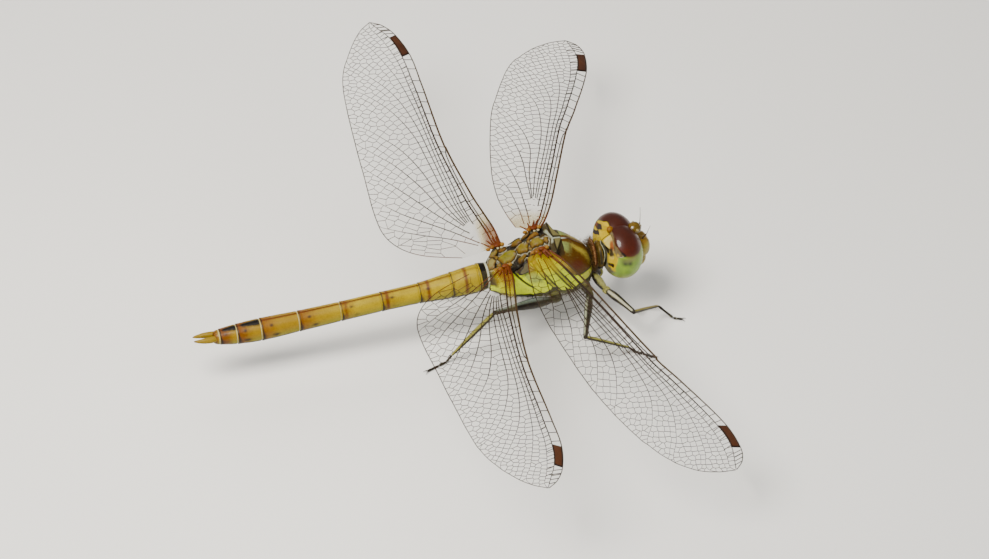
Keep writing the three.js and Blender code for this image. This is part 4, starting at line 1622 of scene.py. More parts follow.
@dataclass
class Leg:
    """One leg: root joint, thigh, shin with two rows of spines, and a clawed foot of three joints."""

    name: str
    side: Side
    coxa: tuple[float, float, float]
    hip: tuple[float, float, float]
    knee: tuple[float, float, float]
    ankle: tuple[float, float, float]
    pad: tuple[float, float, float]
    toe: tuple[float, float, float]
    stout: float = 1.0
    pad_height: float = 0.13
    toe_height: float = 0.12
    claw: float = 0.34

    def at(self, point: Sequence[float]) -> Array:
        """A place on this side of the body."""
        return np.array(point, float) * (1, self.side.value, 1)

    def build(self, finish: Material) -> None:
        """Builds and places this leg in its finish.

        Args:
            finish: its finish.
        """
        tag = f"{self.name}_{self.side.word}"
        place_piece(
            f"leg_{tag}", self.shape(), finish, "leg", [f"femur_{tag}", f"tibia_{tag}", f"tarsus_{tag}"]
        )

    def bar(
        self, start: Array, end: Array, radii: Sequence[float], bow: float = 0.0, stripe: float = 0.0,
        rows: int = 26,
    ) -> Surface:
        """A straight joint with rounded ends; its radius runs through a few given ones.

        Args:
            start: one end.
            end: the other.
            radii: radius at even steps.
            bow: how far its middle rises.
            stripe: how strong the pale line along its top is.
            rows: rings along it.

        Returns:
            The joint with its field stripe.
        """
        t = np.linspace(0, 1, rows)
        path = start + (end - start) * t[:, None] + np.array([0, 0, bow]) * (np.sin(math.pi * t)[:, None])
        radius = through(np.linspace(0, 1, len(radii)), radii, t)
        radius = radius * np.sqrt(np.clip(1 - (np.abs(2 * t - 1) ** 18) * 0.75, 0.06, 1))
        made = rod(path, radius, 16)
        shift = 34 if self.stout == 1 else 8
        top = np.abs(made.fields["around"] * 360 - 90 + shift * self.side.value)
        wide = 27 if self.stout == 1 else 40
        share = ease(wide, 0.55 * wide, top) * ease(0.02, 0.12, made.fields["along"])
        return made.with_fields(stripe=stripe * share)

    def spines(self, start: Array, end: Array, count: int, length: float, width: float = 0.024) -> Surface:
        """Two rows of bristles that lean towards the foot.

        Args:
            start: where the joint starts.
            end: where it ends.
            count: bristles in a row.
            length: about how long each is.
            width: a bristle's radius at its root.

        Returns:
            Both rows in one.
        """
        t = np.linspace(0.1, 0.96, count)[:, None]
        ahead = unit(end - start)
        side = unit(np.cross(ahead, [0, 0, 1.0]))
        down = unit(np.cross(side, ahead) * -1)
        rows = []
        for way in (-1, 1):
            root = start + (end - start) * t
            lean = 0.75 * way * side + 0.55 * down + 0.55 * ahead
            rows.append(spikes(root, root + unit(lean) * length * (0.8 + 0.3 * np.sin(9 * t)), width))
        return Surface.joined(rows)

    def shin(self, knee: Array, ankle: Array) -> Surface:
        """The shin: its own pale line, wider than the thigh's.

        Args:
            knee: where it starts.
            ankle: where it ends.

        Returns:
            The shin.
        """
        k = self.stout
        bar = self.bar(knee, ankle, (0.18, 0.17 * k, 0.145 * k, 0.115), 0.03, 0, 40)
        top = np.abs(bar.fields["around"] * 360 - 90)
        return bar.with_fields(shin=ease(64, 42, top) * ease(0.0, 0.06, bar.fields["along"]))

    def root(self, coxa: Array, hip: Array) -> Surface:
        """The stout joint by the body: slimmer and pale on top alone in the fore leg, toned all round
        elsewhere, where its dark tone is partly painted shade under the thorax.

        Args:
            coxa: where it leaves the body.
            hip: where it ends.

        Returns:
            The joint.
        """
        fore = self.name == "fore"
        girth = 0.84 if fore else 1.0
        bar = self.bar(coxa, hip, [girth * r for r in (0.3, 0.42, 0.46, 0.4, 0.32)], rows=24)
        top = np.abs(bar.fields["around"] * 360 - 90 + 40 * self.side.value)
        return bar.with_fields(root=0.95 * ease(62, 30, top) if fore else 0.8)

    def shape(self) -> Surface:
        """The whole leg, with its feet flat on the floor.

        Returns:
            All its joints, bristles and claws in one.
        """
        coxa, hip, knee, ankle, pad, toe = (
            self.at(p) for p in (self.coxa, self.hip, self.knee, self.ankle, self.pad, self.toe)
        )
        k = self.stout
        pad[2], toe[2] = self.pad_height, self.toe_height
        parts = [
            self.root(coxa, hip),
            self.bar(
                hip - (knee - hip) * 0.03, hip + (knee - hip) * 0.14, (0.26, 0.36, 0.3), rows=16
            ).with_fields(root=0.6),
            self.bar(hip + (knee - hip) * 0.1, knee, (0.28, 0.36 * k, 0.31 * k, 0.25, 0.22), 0.06, 0.9, 40),
            ball(knee, (0.2, 0.2, 0.2), 12, 16).with_fields(stripe=0),
            self.shin(knee, ankle),
            self.spines(hip + (knee - hip) * 0.3, knee, 9, 0.28),
            self.spines(knee, ankle, 14, 0.68, 0.036),
            self.bar(ankle, ankle + (pad - ankle) * 0.96, (0.12, 0.1, 0.12), rows=14),
            self.bar(pad, pad + (toe - pad) * 0.38, (0.1, 0.11, 0.12), rows=14),
            self.bar(pad + (toe - pad) * 0.4, toe, (0.09, 0.1, 0.11), rows=18),
        ]
        ahead = unit(toe - pad)
        side = np.cross(ahead, [0, 0, 1.0])
        for way in (-1, 1):
            t = np.linspace(0, 1, 10)[:, None]
            path = (
                toe + ahead * self.claw * t + side * way * (0.05 + 0.16 * t)
                + np.array([0, 0, 1.0]) * (0.06 * np.sin(math.pi * t) - 0.09 * t)
            )
            parts.append(rod(path, np.linspace(0.045, 0.01, 10), 8))
        return Surface.joined(parts)

    @staticmethod
    def finish(pale: str, shin: str, root: str, mottle: float) -> Material:
        """Near black with a pale line along the top, and its own tone by the body.

        Args:
            pale: the thigh's line.
            shin: the shin's line.
            root: the tone of the joints by the body.
            mottle: how broken that tone is.

        Returns:
            The material.
        """
        layers = (
            Layer("stripe", pale, 0.85, 0.3), Layer("shin", shin, 0.9, 0.4), Layer("root", root, 0.9, mottle)
        )
        return Cuticle(f"leg_{pale}", "15110d", "241b12", layers, 0.4, gloss=0.15, shine=0.2).build()


# ---- wings


@dataclass(frozen=True)
class Vein:
    """A lengthwise vein: its share of the chord, 0 at the lead edge to 1 at the trail edge, at places."""

    name: str
    places: tuple[float, ...]
    shares: tuple[float, ...]
    radius: float
    lift: float
    tint: float = 0.0

    def share(self, u: Array) -> Array:
        """The vein's share of the chord at u, kept from 0 to 1."""
        return np.clip(through(self.places, self.shares, u), 0, 1)


@dataclass
class Wing:
    """One wing in its own plane: u along it, v across it towards the lead edge, w out of it."""

    name: str
    side: Side
    root: tuple[float, float, float]
    sweep: float
    rise: float
    pitch: float
    stations: tuple[tuple[float, float, float], ...]
    veins: tuple[Vein, ...]
    stigma: tuple[float, float]
    nodus: float
    seed: int
    crossing: tuple[tuple[float, float], ...] = ((0, 0.85), (8, 0.75), (16, 0.6), (28, 0.42))
    half_sheet: float = 0.014

    def __post_init__(self) -> None:
        """Finds the wing's axes: the span from sweep and rise, then the chord turned by the pitch."""
        s, r, p = (math.radians(v) for v in (self.sweep, self.rise, self.pitch))
        span = np.array([math.sin(s) * math.cos(r), math.cos(s) * math.cos(r), math.sin(r)])
        level = np.array([math.cos(s), -math.sin(s), 0])
        up = np.cross(level, span)
        chord = level * math.cos(p) + up * math.sin(p)
        flip = np.array([1, self.side.value, 1])
        self.span, self.chord, self.up = span * flip, chord * flip, np.cross(chord, span) * flip
        self.origin = np.array(self.root) * flip
        self.u_key, self.lead_key, self.trail_key = (tuple(k) for k in zip(*self.stations))
        self.length = self.u_key[-1]

    def lead(self, u: Array) -> Array:
        """The lead edge's v at u."""
        return through(self.u_key, self.lead_key, u)

    def trail(self, u: Array) -> Array:
        """The trail edge's v at u."""
        return through(self.u_key, self.trail_key, u)

    def across(self, u: Array, share: Array) -> Array:
        """The v at a share of the chord: lead less share times (lead - trail)."""
        lead = self.lead(u)
        return lead - share * (lead - self.trail(u))

    def lift(self, u: Array, v: Array) -> Array:
        """Height of the pleated film at u and v: straight lines across from each vein's lift to the next.

        Args:
            u: places along the wing.
            v: places across it.

        Returns:
            The film's height at each.
        """
        lead, trail = self.lead(u), self.trail(u)
        share = (lead - v) / np.maximum(lead - trail, 1e-3)
        fade = ease(0, 2.5, u) * ease(self.length, self.length - 3, u) * 0.75 + 0.25
        curves = np.stack([np.broadcast_to(vein.share(u), np.shape(share)) for vein in self.veins])
        lifts = np.array([vein.lift for vein in self.veins])
        height = np.full(np.shape(share), lifts[0])
        for i in range(len(self.veins) - 1):
            gap = curves[i + 1] - curves[i]
            t = np.clip((share - curves[i]) / np.maximum(gap, 1e-4), 0, 1)
            full = np.clip(gap / 0.05, 0, 1)
            target = lifts[i] + (lifts[i + 1] - lifts[i]) * t
            height = np.where(share >= curves[i], target * full + height * (1 - full), height)
        return height * fade

    def world(self, u: Array, v: Array, w: Array) -> Array:
        """The animal's own measure from the wing's: root + span u + chord v + up w."""
        u, v, w = np.broadcast_arrays(u, v, w)
        return self.origin + u[..., None] * self.span + v[..., None] * self.chord + w[..., None] * self.up

    def build(self, film: Material, vein: Material, stigma: Material) -> None:
        """Builds and places the film, the veins and the coloured cell.

        Args:
            film: the film's finish.
            vein: the veins' finish.
            stigma: the coloured cell's finish.
        """
        name, word = self.name, self.side.word
        place_piece(f"{name}_film_{word}", self.film(), film, "wing_membrane", [f"{name}_{word}"])
        place_piece(f"{name}_veins_{word}", self.net(), vein, "stigma")
        place_piece(f"{name}_cell_{word}", self.cell(), stigma, "stigma", [f"{name}_stigma_{word}"])

    def film(self) -> Surface:
        """Two pleated sheets close together, joined round the rim: rows along u, each a ring over and
        under.

        Returns:
            The film with its field amber.
        """
        u = np.linspace(self.u_key[0] + 0.1, self.length - 0.03, 230)[:, None]
        f = np.linspace(0.004, 0.996, 64)[None, :]
        v = self.across(u, f)
        w = self.lift(u, v)
        over, under = self.world(u, v, w + self.half_sheet), self.world(u, v, w - self.half_sheet)[:, ::-1]
        amber = self.amber(u, v)
        return skin(np.concatenate([over, under], 1), {"amber": np.concatenate([amber, amber[:, ::-1]], 1)})

    def amber(self, u: Array, v: Array) -> Array:
        """How amber the film is: strong by the root near the lead edge, faint along that edge further
        out.

        Args:
            u: places along the wing.
            v: places across it.

        Returns:
            How amber, 0 to 1.
        """
        away = self.lead(u) - v
        share = away / np.maximum(self.lead(u) - self.trail(u), 1e-3)
        # The hind wings' wider, stronger root colour is partly real amber, partly painted shade.
        reach, spread, fall, most = (
            (1.0, 1.2, 0.9, 0.55) if self.name == "forewing" else (0.72, 0.5, 2.4, 0.95)
        )
        near = ease(3.3, 0.8, np.hypot(u * reach, np.maximum(away - spread, 0) * fall))
        along = ease(0.12, 0.05, share) * ease(9, 2, u)
        return np.clip(most * near + 0.04 * ease(9, 2, u) + 0.12 * along, 0, 1)

    def tube(self, u: Array, v: Array, radius: Array, tint: float, sides: int = 7) -> Surface:
        """A round vein along points in the wing's plane, seated in the film.

        Args:
            u: places along the wing.
            v: places across it.
            radius: the vein's radius at each.
            tint: how yellow it is.
            sides: points in each ring.

        Returns:
            The vein.
        """
        path = self.world(u, v, self.lift(u, v))
        near = np.concatenate([np.repeat(u, sides), [u[0], u[-1]]])
        dark = tint * ease(self.length, self.length * 0.6, near)
        return rod(path, radius, sides).with_fields(ruddy=ease(3.0, 1.0, near), tint=dark)

    def net(self) -> Surface:
        """All the veins: the lengthwise ones, the rim, the main cross-pieces, and the small cells' walls.

        Returns:
            All the veins in one.
        """
        parts = []
        for vein in self.veins:
            start, end = self.reach(vein)
            u = np.linspace(start, end, max(8, int((end - start) * 7)))
            taper = 0.45 + 0.55 * ease(end, max(start, end - 0.55 * (end - start)), u)
            parts.append(self.tube(u, self.across(u, vein.share(u)), vein.radius * taper, vein.tint))
        u = np.linspace(self.u_key[0] + 0.15, self.length - 0.02, 220)
        parts.append(self.tube(u, self.trail(u) + 0.02, np.full(len(u), 0.032), 0))
        starts, ends = self.walls()
        parts.append(self.struts(starts, ends, 0.025))
        starts, ends = self.ladder()
        parts.append(self.struts(starts, ends, 0.034))
        return Surface.joined(parts)

    def reach(self, vein: Vein) -> tuple[float, float]:
        """Where a vein really runs: its first to last place, cut where it meets the trail edge.

        Args:
            vein: which one.

        Returns:
            Its first and last u.
        """
        u = np.linspace(vein.places[0], vein.places[-1], 400)
        inside = u[vein.share(u) < 0.995]
        return float(vein.places[0]), float(inside[-1] if len(inside) else vein.places[-1])

    def struts(self, starts: Array, ends: Array, radius: float, sides: int = 4) -> Surface:
        """Short straight bars between pairs of points in the wing's plane, each as a closed prism.

        Args:
            starts: u and v of one end of each.
            ends: u and v of the other end.
            radius: of all of them.
            sides: corners of each prism.

        Returns:
            All the bars in one.
        """
        a = self.world(starts[:, 0], starts[:, 1], self.lift(starts[:, 0], starts[:, 1]))
        b = self.world(ends[:, 0], ends[:, 1], self.lift(ends[:, 0], ends[:, 1]))
        ahead = unit(b - a)
        a, b = a - ahead * radius * 0.5, b + ahead * radius * 0.5
        side = unit(np.cross(ahead, self.up))
        turn = circle(sides) + math.pi / 4
        ring = radius * spokes(side, self.up[None], turn)
        points = np.concatenate([a[:, None] + ring, b[:, None] + ring], 1).reshape(-1, 3)
        base = (np.arange(len(a)) * 2 * sides)[:, None]
        k = np.arange(sides)
        nxt = (k + 1) % sides
        walls = np.stack(
            np.broadcast_arrays(base + k, base + nxt, base + sides + nxt, base + sides + k), -1
        ).reshape(-1, 4)
        lids = np.concatenate([base + k[::-1], base + sides + k]).reshape(-1, 4)
        made = Surface(points, np.concatenate([walls, lids]), np.zeros((0, 3), int)).faced_out()
        near = np.repeat((starts[:, 0] + ends[:, 0]) / 2, 2 * sides)
        return made.with_fields(ruddy=0.7 * ease(2.6, 0.8, near), tint=0)

    def ladder(self) -> tuple[Array, Array]:
        """Evenly spaced cross-pieces between the three front veins, before and after the knot.

        Returns:
            u and v of both ends of each.
        """
        starts, ends = [], []
        for front, back, first, last, count in self.rungs():
            u = np.linspace(first, last, count)
            u = u + 0.12 * np.sin(np.arange(count) * 2.1)
            a = np.stack([u, self.across(u, self.veins[front].share(u))], -1)
            slant = 0.12 if back > front + 1 else 0.05
            b = np.stack([u + slant, self.across(u + slant, self.veins[back].share(u + slant))], -1)
            starts.append(a)
            ends.append(b)
        return np.concatenate(starts), np.concatenate(ends)

    def rungs(self) -> list[tuple[int, int, float, float, int]]:
        """The ladder's runs: front vein, back vein, first place, last place, how many.

        Returns:
            One row for each run.
        """
        knot, (near, far) = self.nodus, self.stigma
        return [
            (0, 1, 1.6, knot - 0.4, 8 if self.name == "forewing" else 6),
            (1, 2, 1.6, knot - 0.4, 8 if self.name == "forewing" else 6),
            (0, 2, knot + 0.05, near - 0.5, 9), (0, 2, far + 0.35, self.length - 0.7, 5),
            (2, 3, 4.6, self.length - 1.5, 24),
        ]

    def walls(self) -> tuple[Array, Array]:
        """The small cells' walls, as the borders half-way between neighbouring seeds.

        Each strip between two veins gets rows of staggered seeds and their mirror images beyond both
        veins. Where three seeds are neighbours their common circle's middle is a corner, and a wall joins
        the corners either side of each pair. A wall is kept if both seeds are the strip's own.

        Returns:
            u and v of both ends of each wall.
        """
        noise = np.random.default_rng(self.seed)
        starts, ends = [], []
        for i in range(2, len(self.veins) - 1):
            seeds, mirror = self.seeds(i, noise)
            if len(seeds) < 3:
                continue
            points = np.concatenate([seeds, mirror])
            _, _, tris, *_ = delaunay_2d_cdt([Vector(p) for p in points], [], [], 0, 1e-6, False)
            tri = np.array(tris, int).reshape(-1, 3)
            corner = self.circle_middles(points, tri)
            edges = np.concatenate([tri[:, [0, 1]], tri[:, [1, 2]], tri[:, [2, 0]]])
            owner = np.tile(np.arange(len(tri)), 3)
            edges.sort(axis=1)
            code = edges[:, 0] * len(points) + edges[:, 1]
            order = np.argsort(code, kind="stable")
            same = code[order][1:] == code[order][:-1]
            first, second = order[:-1][same], order[1:][same]
            own = (edges[first] < len(seeds)).all(1)
            a, b = corner[owner[first[own]]], corner[owner[second[own]]]
            a, b = self.held(a, i), self.held(b, i)
            size = np.linalg.norm(a - b, axis=1)
            keep = (size > 0.03) & (size < 1.7)
            starts.append(a[keep])
            ends.append(b[keep])
        return np.concatenate(starts), np.concatenate(ends)

    def held(self, points: Array, i: int) -> Array:
        """Corners kept inside the strip between vein i and the next.

        Args:
            points: u and v of the corners.
            i: number of the strip's front vein.

        Returns:
            The kept corners.
        """
        u = np.clip(points[:, 0], 0.2, self.length - 0.1)
        front, back = self.across(u, self.veins[i].share(u)), self.across(u, self.veins[i + 1].share(u))
        return np.stack([u, np.clip(points[:, 1], back, front)], -1)

    @staticmethod
    def circle_middles(points: Array, tri: Array) -> Array:
        """Middle of the circle through each triangle's corners, from the usual determinant formula.

        Args:
            points: u and v of the seeds.
            tri: three seeds' numbers in a row.

        Returns:
            u and v of each middle.
        """
        (ax, ay), (bx, by), (cx, cy) = (points[tri[:, i]].T for i in range(3))
        d = 2 * (ax * (by - cy) + bx * (cy - ay) + cx * (ay - by))
        d = np.where(np.abs(d) < 1e-9, 1e-9, d)
        aa, bb, cc = ax ** 2 + ay ** 2, bx ** 2 + by ** 2, cx ** 2 + cy ** 2
        x = (aa * (by - cy) + bb * (cy - ay) + cc * (ay - by)) / d
        y = (aa * (cx - bx) + bb * (ax - cx) + cc * (bx - ax)) / d
        return np.stack([x, y], -1)

    def seeds(self, i: int, noise: np.random.Generator) -> tuple[Array, Array]:
        """Seeds in the strip behind vein i, and the outer rows' mirror images over the two veins.

        Steps along u shrink towards the tip. At each step the strip's height over the cell height gives
        the number of rows; every other step is shifted by half a row.

        Args:
            i: number of the strip's front vein.
            noise: the wing's random numbers.

        Returns:
            The strip's own seeds, and the mirror images.
        """
        front, back = self.veins[i], self.veins[i + 1]
        start, end = 1.2, self.length - 0.5
        u = [start]
        while u[-1] < end:
            u.append(u[-1] + float(through(*zip(*self.crossing), np.array(u[-1]))))
        u = np.array(u)
        gap = self.across(u, front.share(u)) - self.across(u, back.share(u))
        tall = 0.62 * (through(*zip(*self.crossing), u) / 0.6) ** 0.5
        rows = np.maximum(1, np.round(gap / tall)).astype(int)
        own, far = [], []
        for j in range(int(rows.max())):
            here = (rows > j) & (gap > 0.16)
            if not here.any():
                continue
            uu = u[here] + (0.5 * (j % 2)) * np.gradient(u)[here] + noise.normal(0, 0.035, here.sum())
            share = (j + 0.5) / rows[here]
            fa, fb = front.share(uu), back.share(uu)
            v = self.across(uu, fa + (fb - fa) * share) + noise.normal(0, 0.02, here.sum())
            p = np.stack([uu, v], -1)
            own.append(p)
            if j == 0:
                far.append(self.mirrored(p, front))
            last = rows[here] - 1 == j
            far.append(self.mirrored(p[last], back))
        if not own:
            return np.zeros((0, 2)), np.zeros((0, 2))
        return np.concatenate(own), np.concatenate(far)

    def mirrored(self, points: Array, vein: Vein) -> Array:
        """Points reflected over the vein, taken as straight beside each: p - 2 (distance) normal.

        Args:
            points: u and v of the seeds.
            vein: the vein to mirror over.

        Returns:
            u and v of the images.
        """
        u = points[:, 0]
        at = self.across(u, vein.share(u))
        slope = (self.across(u + 0.05, vein.share(u + 0.05)) - at) / 0.05
        normal = unit(np.stack([-slope, np.ones_like(slope)], -1))
        away = (points[:, 1] - at) * normal[:, 1]
        return points - 2 * away[:, None] * normal

    def cell(self) -> Surface:
        """The coloured cell near the tip: a slightly swollen plate between the lead vein and the one
        behind.

        Returns:
            The cell.
        """
        near, far = self.stigma
        u = np.linspace(near, far, 40)[:, None]
        a = circle(44)[None, :]
        across, thick = power_sign(np.cos(a), 0.5), power_sign(np.sin(a), 0.5)
        slant = 0.25 * (across * 0.5)
        shrink = np.sqrt(np.clip(1 - np.abs(2 * (u - near) / (far - near) - 1) ** 14, 0.02, 1))
        uu = u + slant
        fa, fb = self.veins[0].share(uu), self.veins[2].share(uu)
        v = self.across(uu, (fa + fb) / 2) - (fb - fa) * (self.lead(uu) - self.trail(uu)) / 2 * across * -0.92
        w = self.lift(uu, v) + thick * 0.075 * shrink
        t = (u - near) / (far - near)
        edge = np.clip(ease(0.1, 0.0, t) + ease(0.9, 1.0, t) + ease(0.7, 0.98, np.abs(across)), 0, 1)
        return skin(self.world(uu, v, w), {"edge": edge})


def fore_veins() -> tuple[Vein, ...]:
    """The fore wing's veins from the lead edge back.

    Returns:
        The veins, each one's places and shares in turn.
    """
    end = 28.3
    rows = (
        ("costa", (0, 10, 20), (0.0, 0.0, 0.0, 0.0), 0.085, 0.14, 1.0),
        ("subcosta", (0, 2, 8, 13.9, 14.8), (0.1, 0.085, 0.06, 0.035, 0.0, 0.0), 0.05, -0.06),
        ("radius", (0, 2, 8, 15, 23.7, 26.4), (0.2, 0.15, 0.105, 0.095, 0.118, 0.17, 0.35), 0.072, 0.17),
        ("second", (3.2, 8, 14, 20, 24, 26.8), (0.24, 0.17, 0.145, 0.165, 0.21, 0.34, 0.62), 0.05, 0.02),
        (
            "third", (4.2, 9, 14, 18, 22, 25.5, 27.4), (0.27, 0.21, 0.185, 0.215, 0.31, 0.56, 0.95, 1.0),
            0.042, 0.1
        ),
        (
            "fourth", (4.4, 9, 13, 17, 20, 23, 25.2), (0.3, 0.26, 0.24, 0.27, 0.38, 0.66, 1.0, 1.0), 0.045,
            -0.02
        ),
        (
            "fifth", (4.5, 8, 12, 15, 18, 20.5, 22.4), (0.34, 0.33, 0.31, 0.34, 0.47, 0.72, 1.0, 1.0), 0.045,
            0.08
        ),
        ("sixth", (4.3, 8, 11.5, 14, 16.2, 18.4), (0.36, 0.42, 0.44, 0.56, 0.76, 1.0, 1.0), 0.045, -0.03),
        ("seventh", (4.2, 7, 9.5, 12, 14.2, 15.6), (0.38, 0.46, 0.53, 0.66, 0.86, 1.0, 1.0), 0.045, 0.06),
        ("eighth", (0.6, 4, 6.2, 8.4, 10.6, 12.2), (0.42, 0.52, 0.6, 0.72, 0.9, 1.0, 1.0), 0.045, -0.02),
        ("ninth", (0.4, 3, 5.2, 7, 8.4), (0.6, 0.66, 0.76, 0.9, 1.0, 1.0), 0.04, 0.05),
        ("rim", (0, 10, 20), (1.0, 1.0, 1.0, 1.0), 0.03, 0.0),
    )
    return tuple(Vein(name, (*places, end), *rest) for name, places, *rest in rows)


def hind_veins() -> tuple[Vein, ...]:
    """The hind wing's veins from the lead edge back.

    Returns:
        The veins, each one's places and shares in turn.
    """
    end = 28.45
    rows = (
        ("costa", (0, 10, 20), (0.0, 0.0, 0.0, 0.0), 0.085, 0.14, 1.0),
        ("subcosta", (0, 2, 6, 11.3, 12.2), (0.07, 0.055, 0.045, 0.026, 0.0, 0.0), 0.05, -0.06),
        ("radius", (0, 2, 6, 12, 23.4, 26.2), (0.14, 0.1, 0.08, 0.075, 0.12, 0.17, 0.35), 0.072, 0.17),
        ("second", (3.0, 8, 14, 20, 24, 26.8), (0.16, 0.12, 0.115, 0.16, 0.22, 0.36, 0.62), 0.05, 0.02),
        (
            "third", (3.4, 9, 14, 18, 22, 25.5, 27.4), (0.18, 0.155, 0.155, 0.2, 0.31, 0.56, 0.95, 1.0),
            0.042, 0.1
        ),
        (
            "fourth", (3.4, 8, 12, 16, 20, 23, 25.2), (0.2, 0.19, 0.19, 0.24, 0.4, 0.68, 1.0, 1.0), 0.045,
            -0.02
        ),
        (
            "fifth", (3.3, 7, 11, 14.5, 18, 20.7, 22.4), (0.22, 0.24, 0.25, 0.3, 0.48, 0.74, 1.0, 1.0),
            0.045, 0.08
        ),
        ("sixth", (3.2, 7, 10.5, 13.5, 16.4, 18.6), (0.24, 0.3, 0.36, 0.5, 0.76, 1.0, 1.0), 0.045, -0.03),
        ("seventh", (3.1, 6, 9, 12, 14.4, 16.0), (0.26, 0.35, 0.45, 0.63, 0.86, 1.0, 1.0), 0.045, 0.06),
        ("eighth", (2.2, 5, 7.5, 10, 12.2, 13.4), (0.27, 0.4, 0.54, 0.72, 0.92, 1.0, 1.0), 0.045, -0.02),
        ("ninth", (0.8, 3, 5, 6.6, 8.4, 9.6), (0.3, 0.42, 0.58, 0.74, 0.9, 1.0, 1.0), 0.045, 0.05),
        ("tenth", (0.6, 2.2, 3.6, 5, 6.3), (0.36, 0.5, 0.68, 0.86, 1.0, 1.0), 0.04, -0.01),
        ("rim", (0, 10, 20), (1.0, 1.0, 1.0, 1.0), 0.03, 0.0),
    )
    return tuple(Vein(name, (*places, end), *rest) for name, places, *rest in rows)


# ---- fine hair


@dataclass
class Hair:
    """Fine hairs on the thorax and behind the head, as small leaning cones in tufts."""

    tufts: int = 2600
    each: int = 3
    ruff_tufts: int = 330
    ruff_length: float = 0.62
    thick: float = 0.006
    corners: int = 3
    seed: int = 11

    def build(self, thorax: Thorax) -> None:
        """Builds the hair over the thorax box and the collar, each hair with its patch on the unrolled
        shapes.

        Args:
            thorax: the box and the collar that it grows on.
        """
        noise = np.random.default_rng(self.seed)
        sets = [self.coat(thorax, noise), self.ruff(thorax, noise)]
        roots, tips, places = (np.concatenate(group) for group in zip(*sets))
        piece = place_piece(
            "thorax_hair", spikes(roots, tips, self.thick, self.corners), self.finish(), "thorax_cuticle"
        )
        self.unwrap(piece, places, self.corners + 1)

    def coat(self, thorax: Thorax, noise: np.random.Generator) -> tuple[Array, Array, Array]:
        """The thorax's own hair: thick at the front and on the belly, thin elsewhere, none between the wings.

        Args:
            thorax: gives the surface.
            noise: the source of chance.

        Returns:
            Each hair's root, its tip, and its place on the map.
        """
        x = noise.uniform(-1.0, 7.6, self.tufts)
        a = noise.uniform(0, 2 * math.pi, self.tufts)
        surface = thorax.at(x, a)
        thick = ease(6.7, 7.4, x) * 0.9 + 0.08 + 0.7 * ease(4.9, 4.2, surface[:, 2])
        keep = (noise.uniform(0, 1, self.tufts) < thick) & ~((surface[:, 2] > 8.4) & (x < 4.9))
        x, a, surface = x[keep], a[keep], surface[keep]
        out = self.outward(thorax.at, x, a, np.array([3.3, 0, 6.0]))
        patch = np.stack([0.1 + 0.6 * (x + 1.25) / 9.0, 0.1 + 0.8 * a / (2 * math.pi)], -1)
        length = 0.18 + 0.3 * ease(4.5, 7.0, x) + 0.4 * ease(4.7, 4.0, surface[:, 2])
        return self.tuft(surface, out, length, patch, noise, np.array([-0.25, 0, -0.15]))

    def ruff(self, thorax: Thorax, noise: np.random.Generator) -> tuple[Array, Array, Array]:
        """The fringe of long hair on the collar's rear plate and beside the neck.

        Args:
            thorax: gives the collar's surface.
            noise: the source of chance.

        Returns:
            Each hair's root, its tip, and its place on the map.
        """
        x = noise.normal(7.9, 0.12, self.ruff_tufts)
        a = noise.uniform(-0.5, math.pi + 0.5, len(x))
        out = self.outward(thorax.neck, x, a, np.array([8.0, 0, 6.1]))
        patch = np.stack([0.75 + 0.2 * (x - 7.3) / 1.2, 0.1 + 0.8 * (a + 0.5) / 4.3], -1)
        length = np.full(len(x), self.ruff_length)
        return self.tuft(thorax.neck(x, a), out, length, patch, noise, np.array([-0.3, 0, 0.25]))

    def tuft(
        self, surface: Array, out: Array, length: Array, patch: Array, noise: np.random.Generator,
        lean: Array,
    ) -> tuple[Array, Array, Array]:
        """A few hairs round each place.

        Args:
            surface: the tufts' places.
            out: the surface's outward direction there.
            length: the hairs' middle length.
            patch: the tufts' places on the map.
            noise: the source of chance.
            lean: a common lean, added to the outward direction.

        Returns:
            Each hair's root, its tip, and its place on the map.
        """
        out, surface, patch = (np.tile(v, (self.each, 1)) for v in (out, surface, patch))
        way = unit(out + noise.normal(0, 0.35, out.shape) + lean)
        roots = surface + noise.normal(0, 0.03, out.shape) - out * 0.02
        reach = np.tile(length, self.each) * noise.uniform(0.6, 1.3, len(roots))
        return roots, roots + way * reach[:, None], patch

    @staticmethod
    def outward(at: Callable[[Array, Array], Array], x: Array, a: Array, middle: Array) -> Array:
        """The outward direction at (x, a): the cross product of two small steps, turned away from the middle.

        Args:
            at: the surface as a function of place and angle.
            x: places along the body.
            a: angles round it.
            middle: a point inside.

        Returns:
            One direction of length 1 for each.
        """
        here = at(x, a)
        out = unit(np.cross(at(x + 0.02, a) - here, at(x, a + 0.02) - here))
        return out * np.sign((out * (here - middle)).sum(1, keepdims=True))

    @staticmethod
    def unwrap(piece: bpy.types.Object, places: Array, corners: int) -> None:
        """Gives every hair a patch 0.003 across at its root's place in the map OFBake.

        Args:
            piece: the hair.
            places: each hair's place in the map.
            corners: points in each hair.
        """
        layer = piece.data.uv_layers.new(name="OFBake")
        loop = np.zeros(len(piece.data.loops), np.int32)
        piece.data.loops.foreach_get("vertex_index", loop)
        turn = (loop % corners) * (2 * math.pi / corners)
        uv = places[loop // corners] + 0.0015 * np.stack([np.cos(turn), np.sin(turn)], -1)
        layer.data.foreach_set("uv", uv.astype(np.float32).reshape(-1))

    @staticmethod
    def finish() -> Material:
        """Pale brown silky hair.

        Returns:
            The material.
        """
        p = Paint("fine_hair")
        p.set(
            Base_Color=p.mix(p.noise(1500, 2), tone("2c1c0c"), tone("5c4422")), Roughness=0.85,
            Normal=p.bump(p.noise(20000, 1), 0.1, 0.000005), Specular_IOR_Level=0.1,
        )
        return p.material


# ---- studio


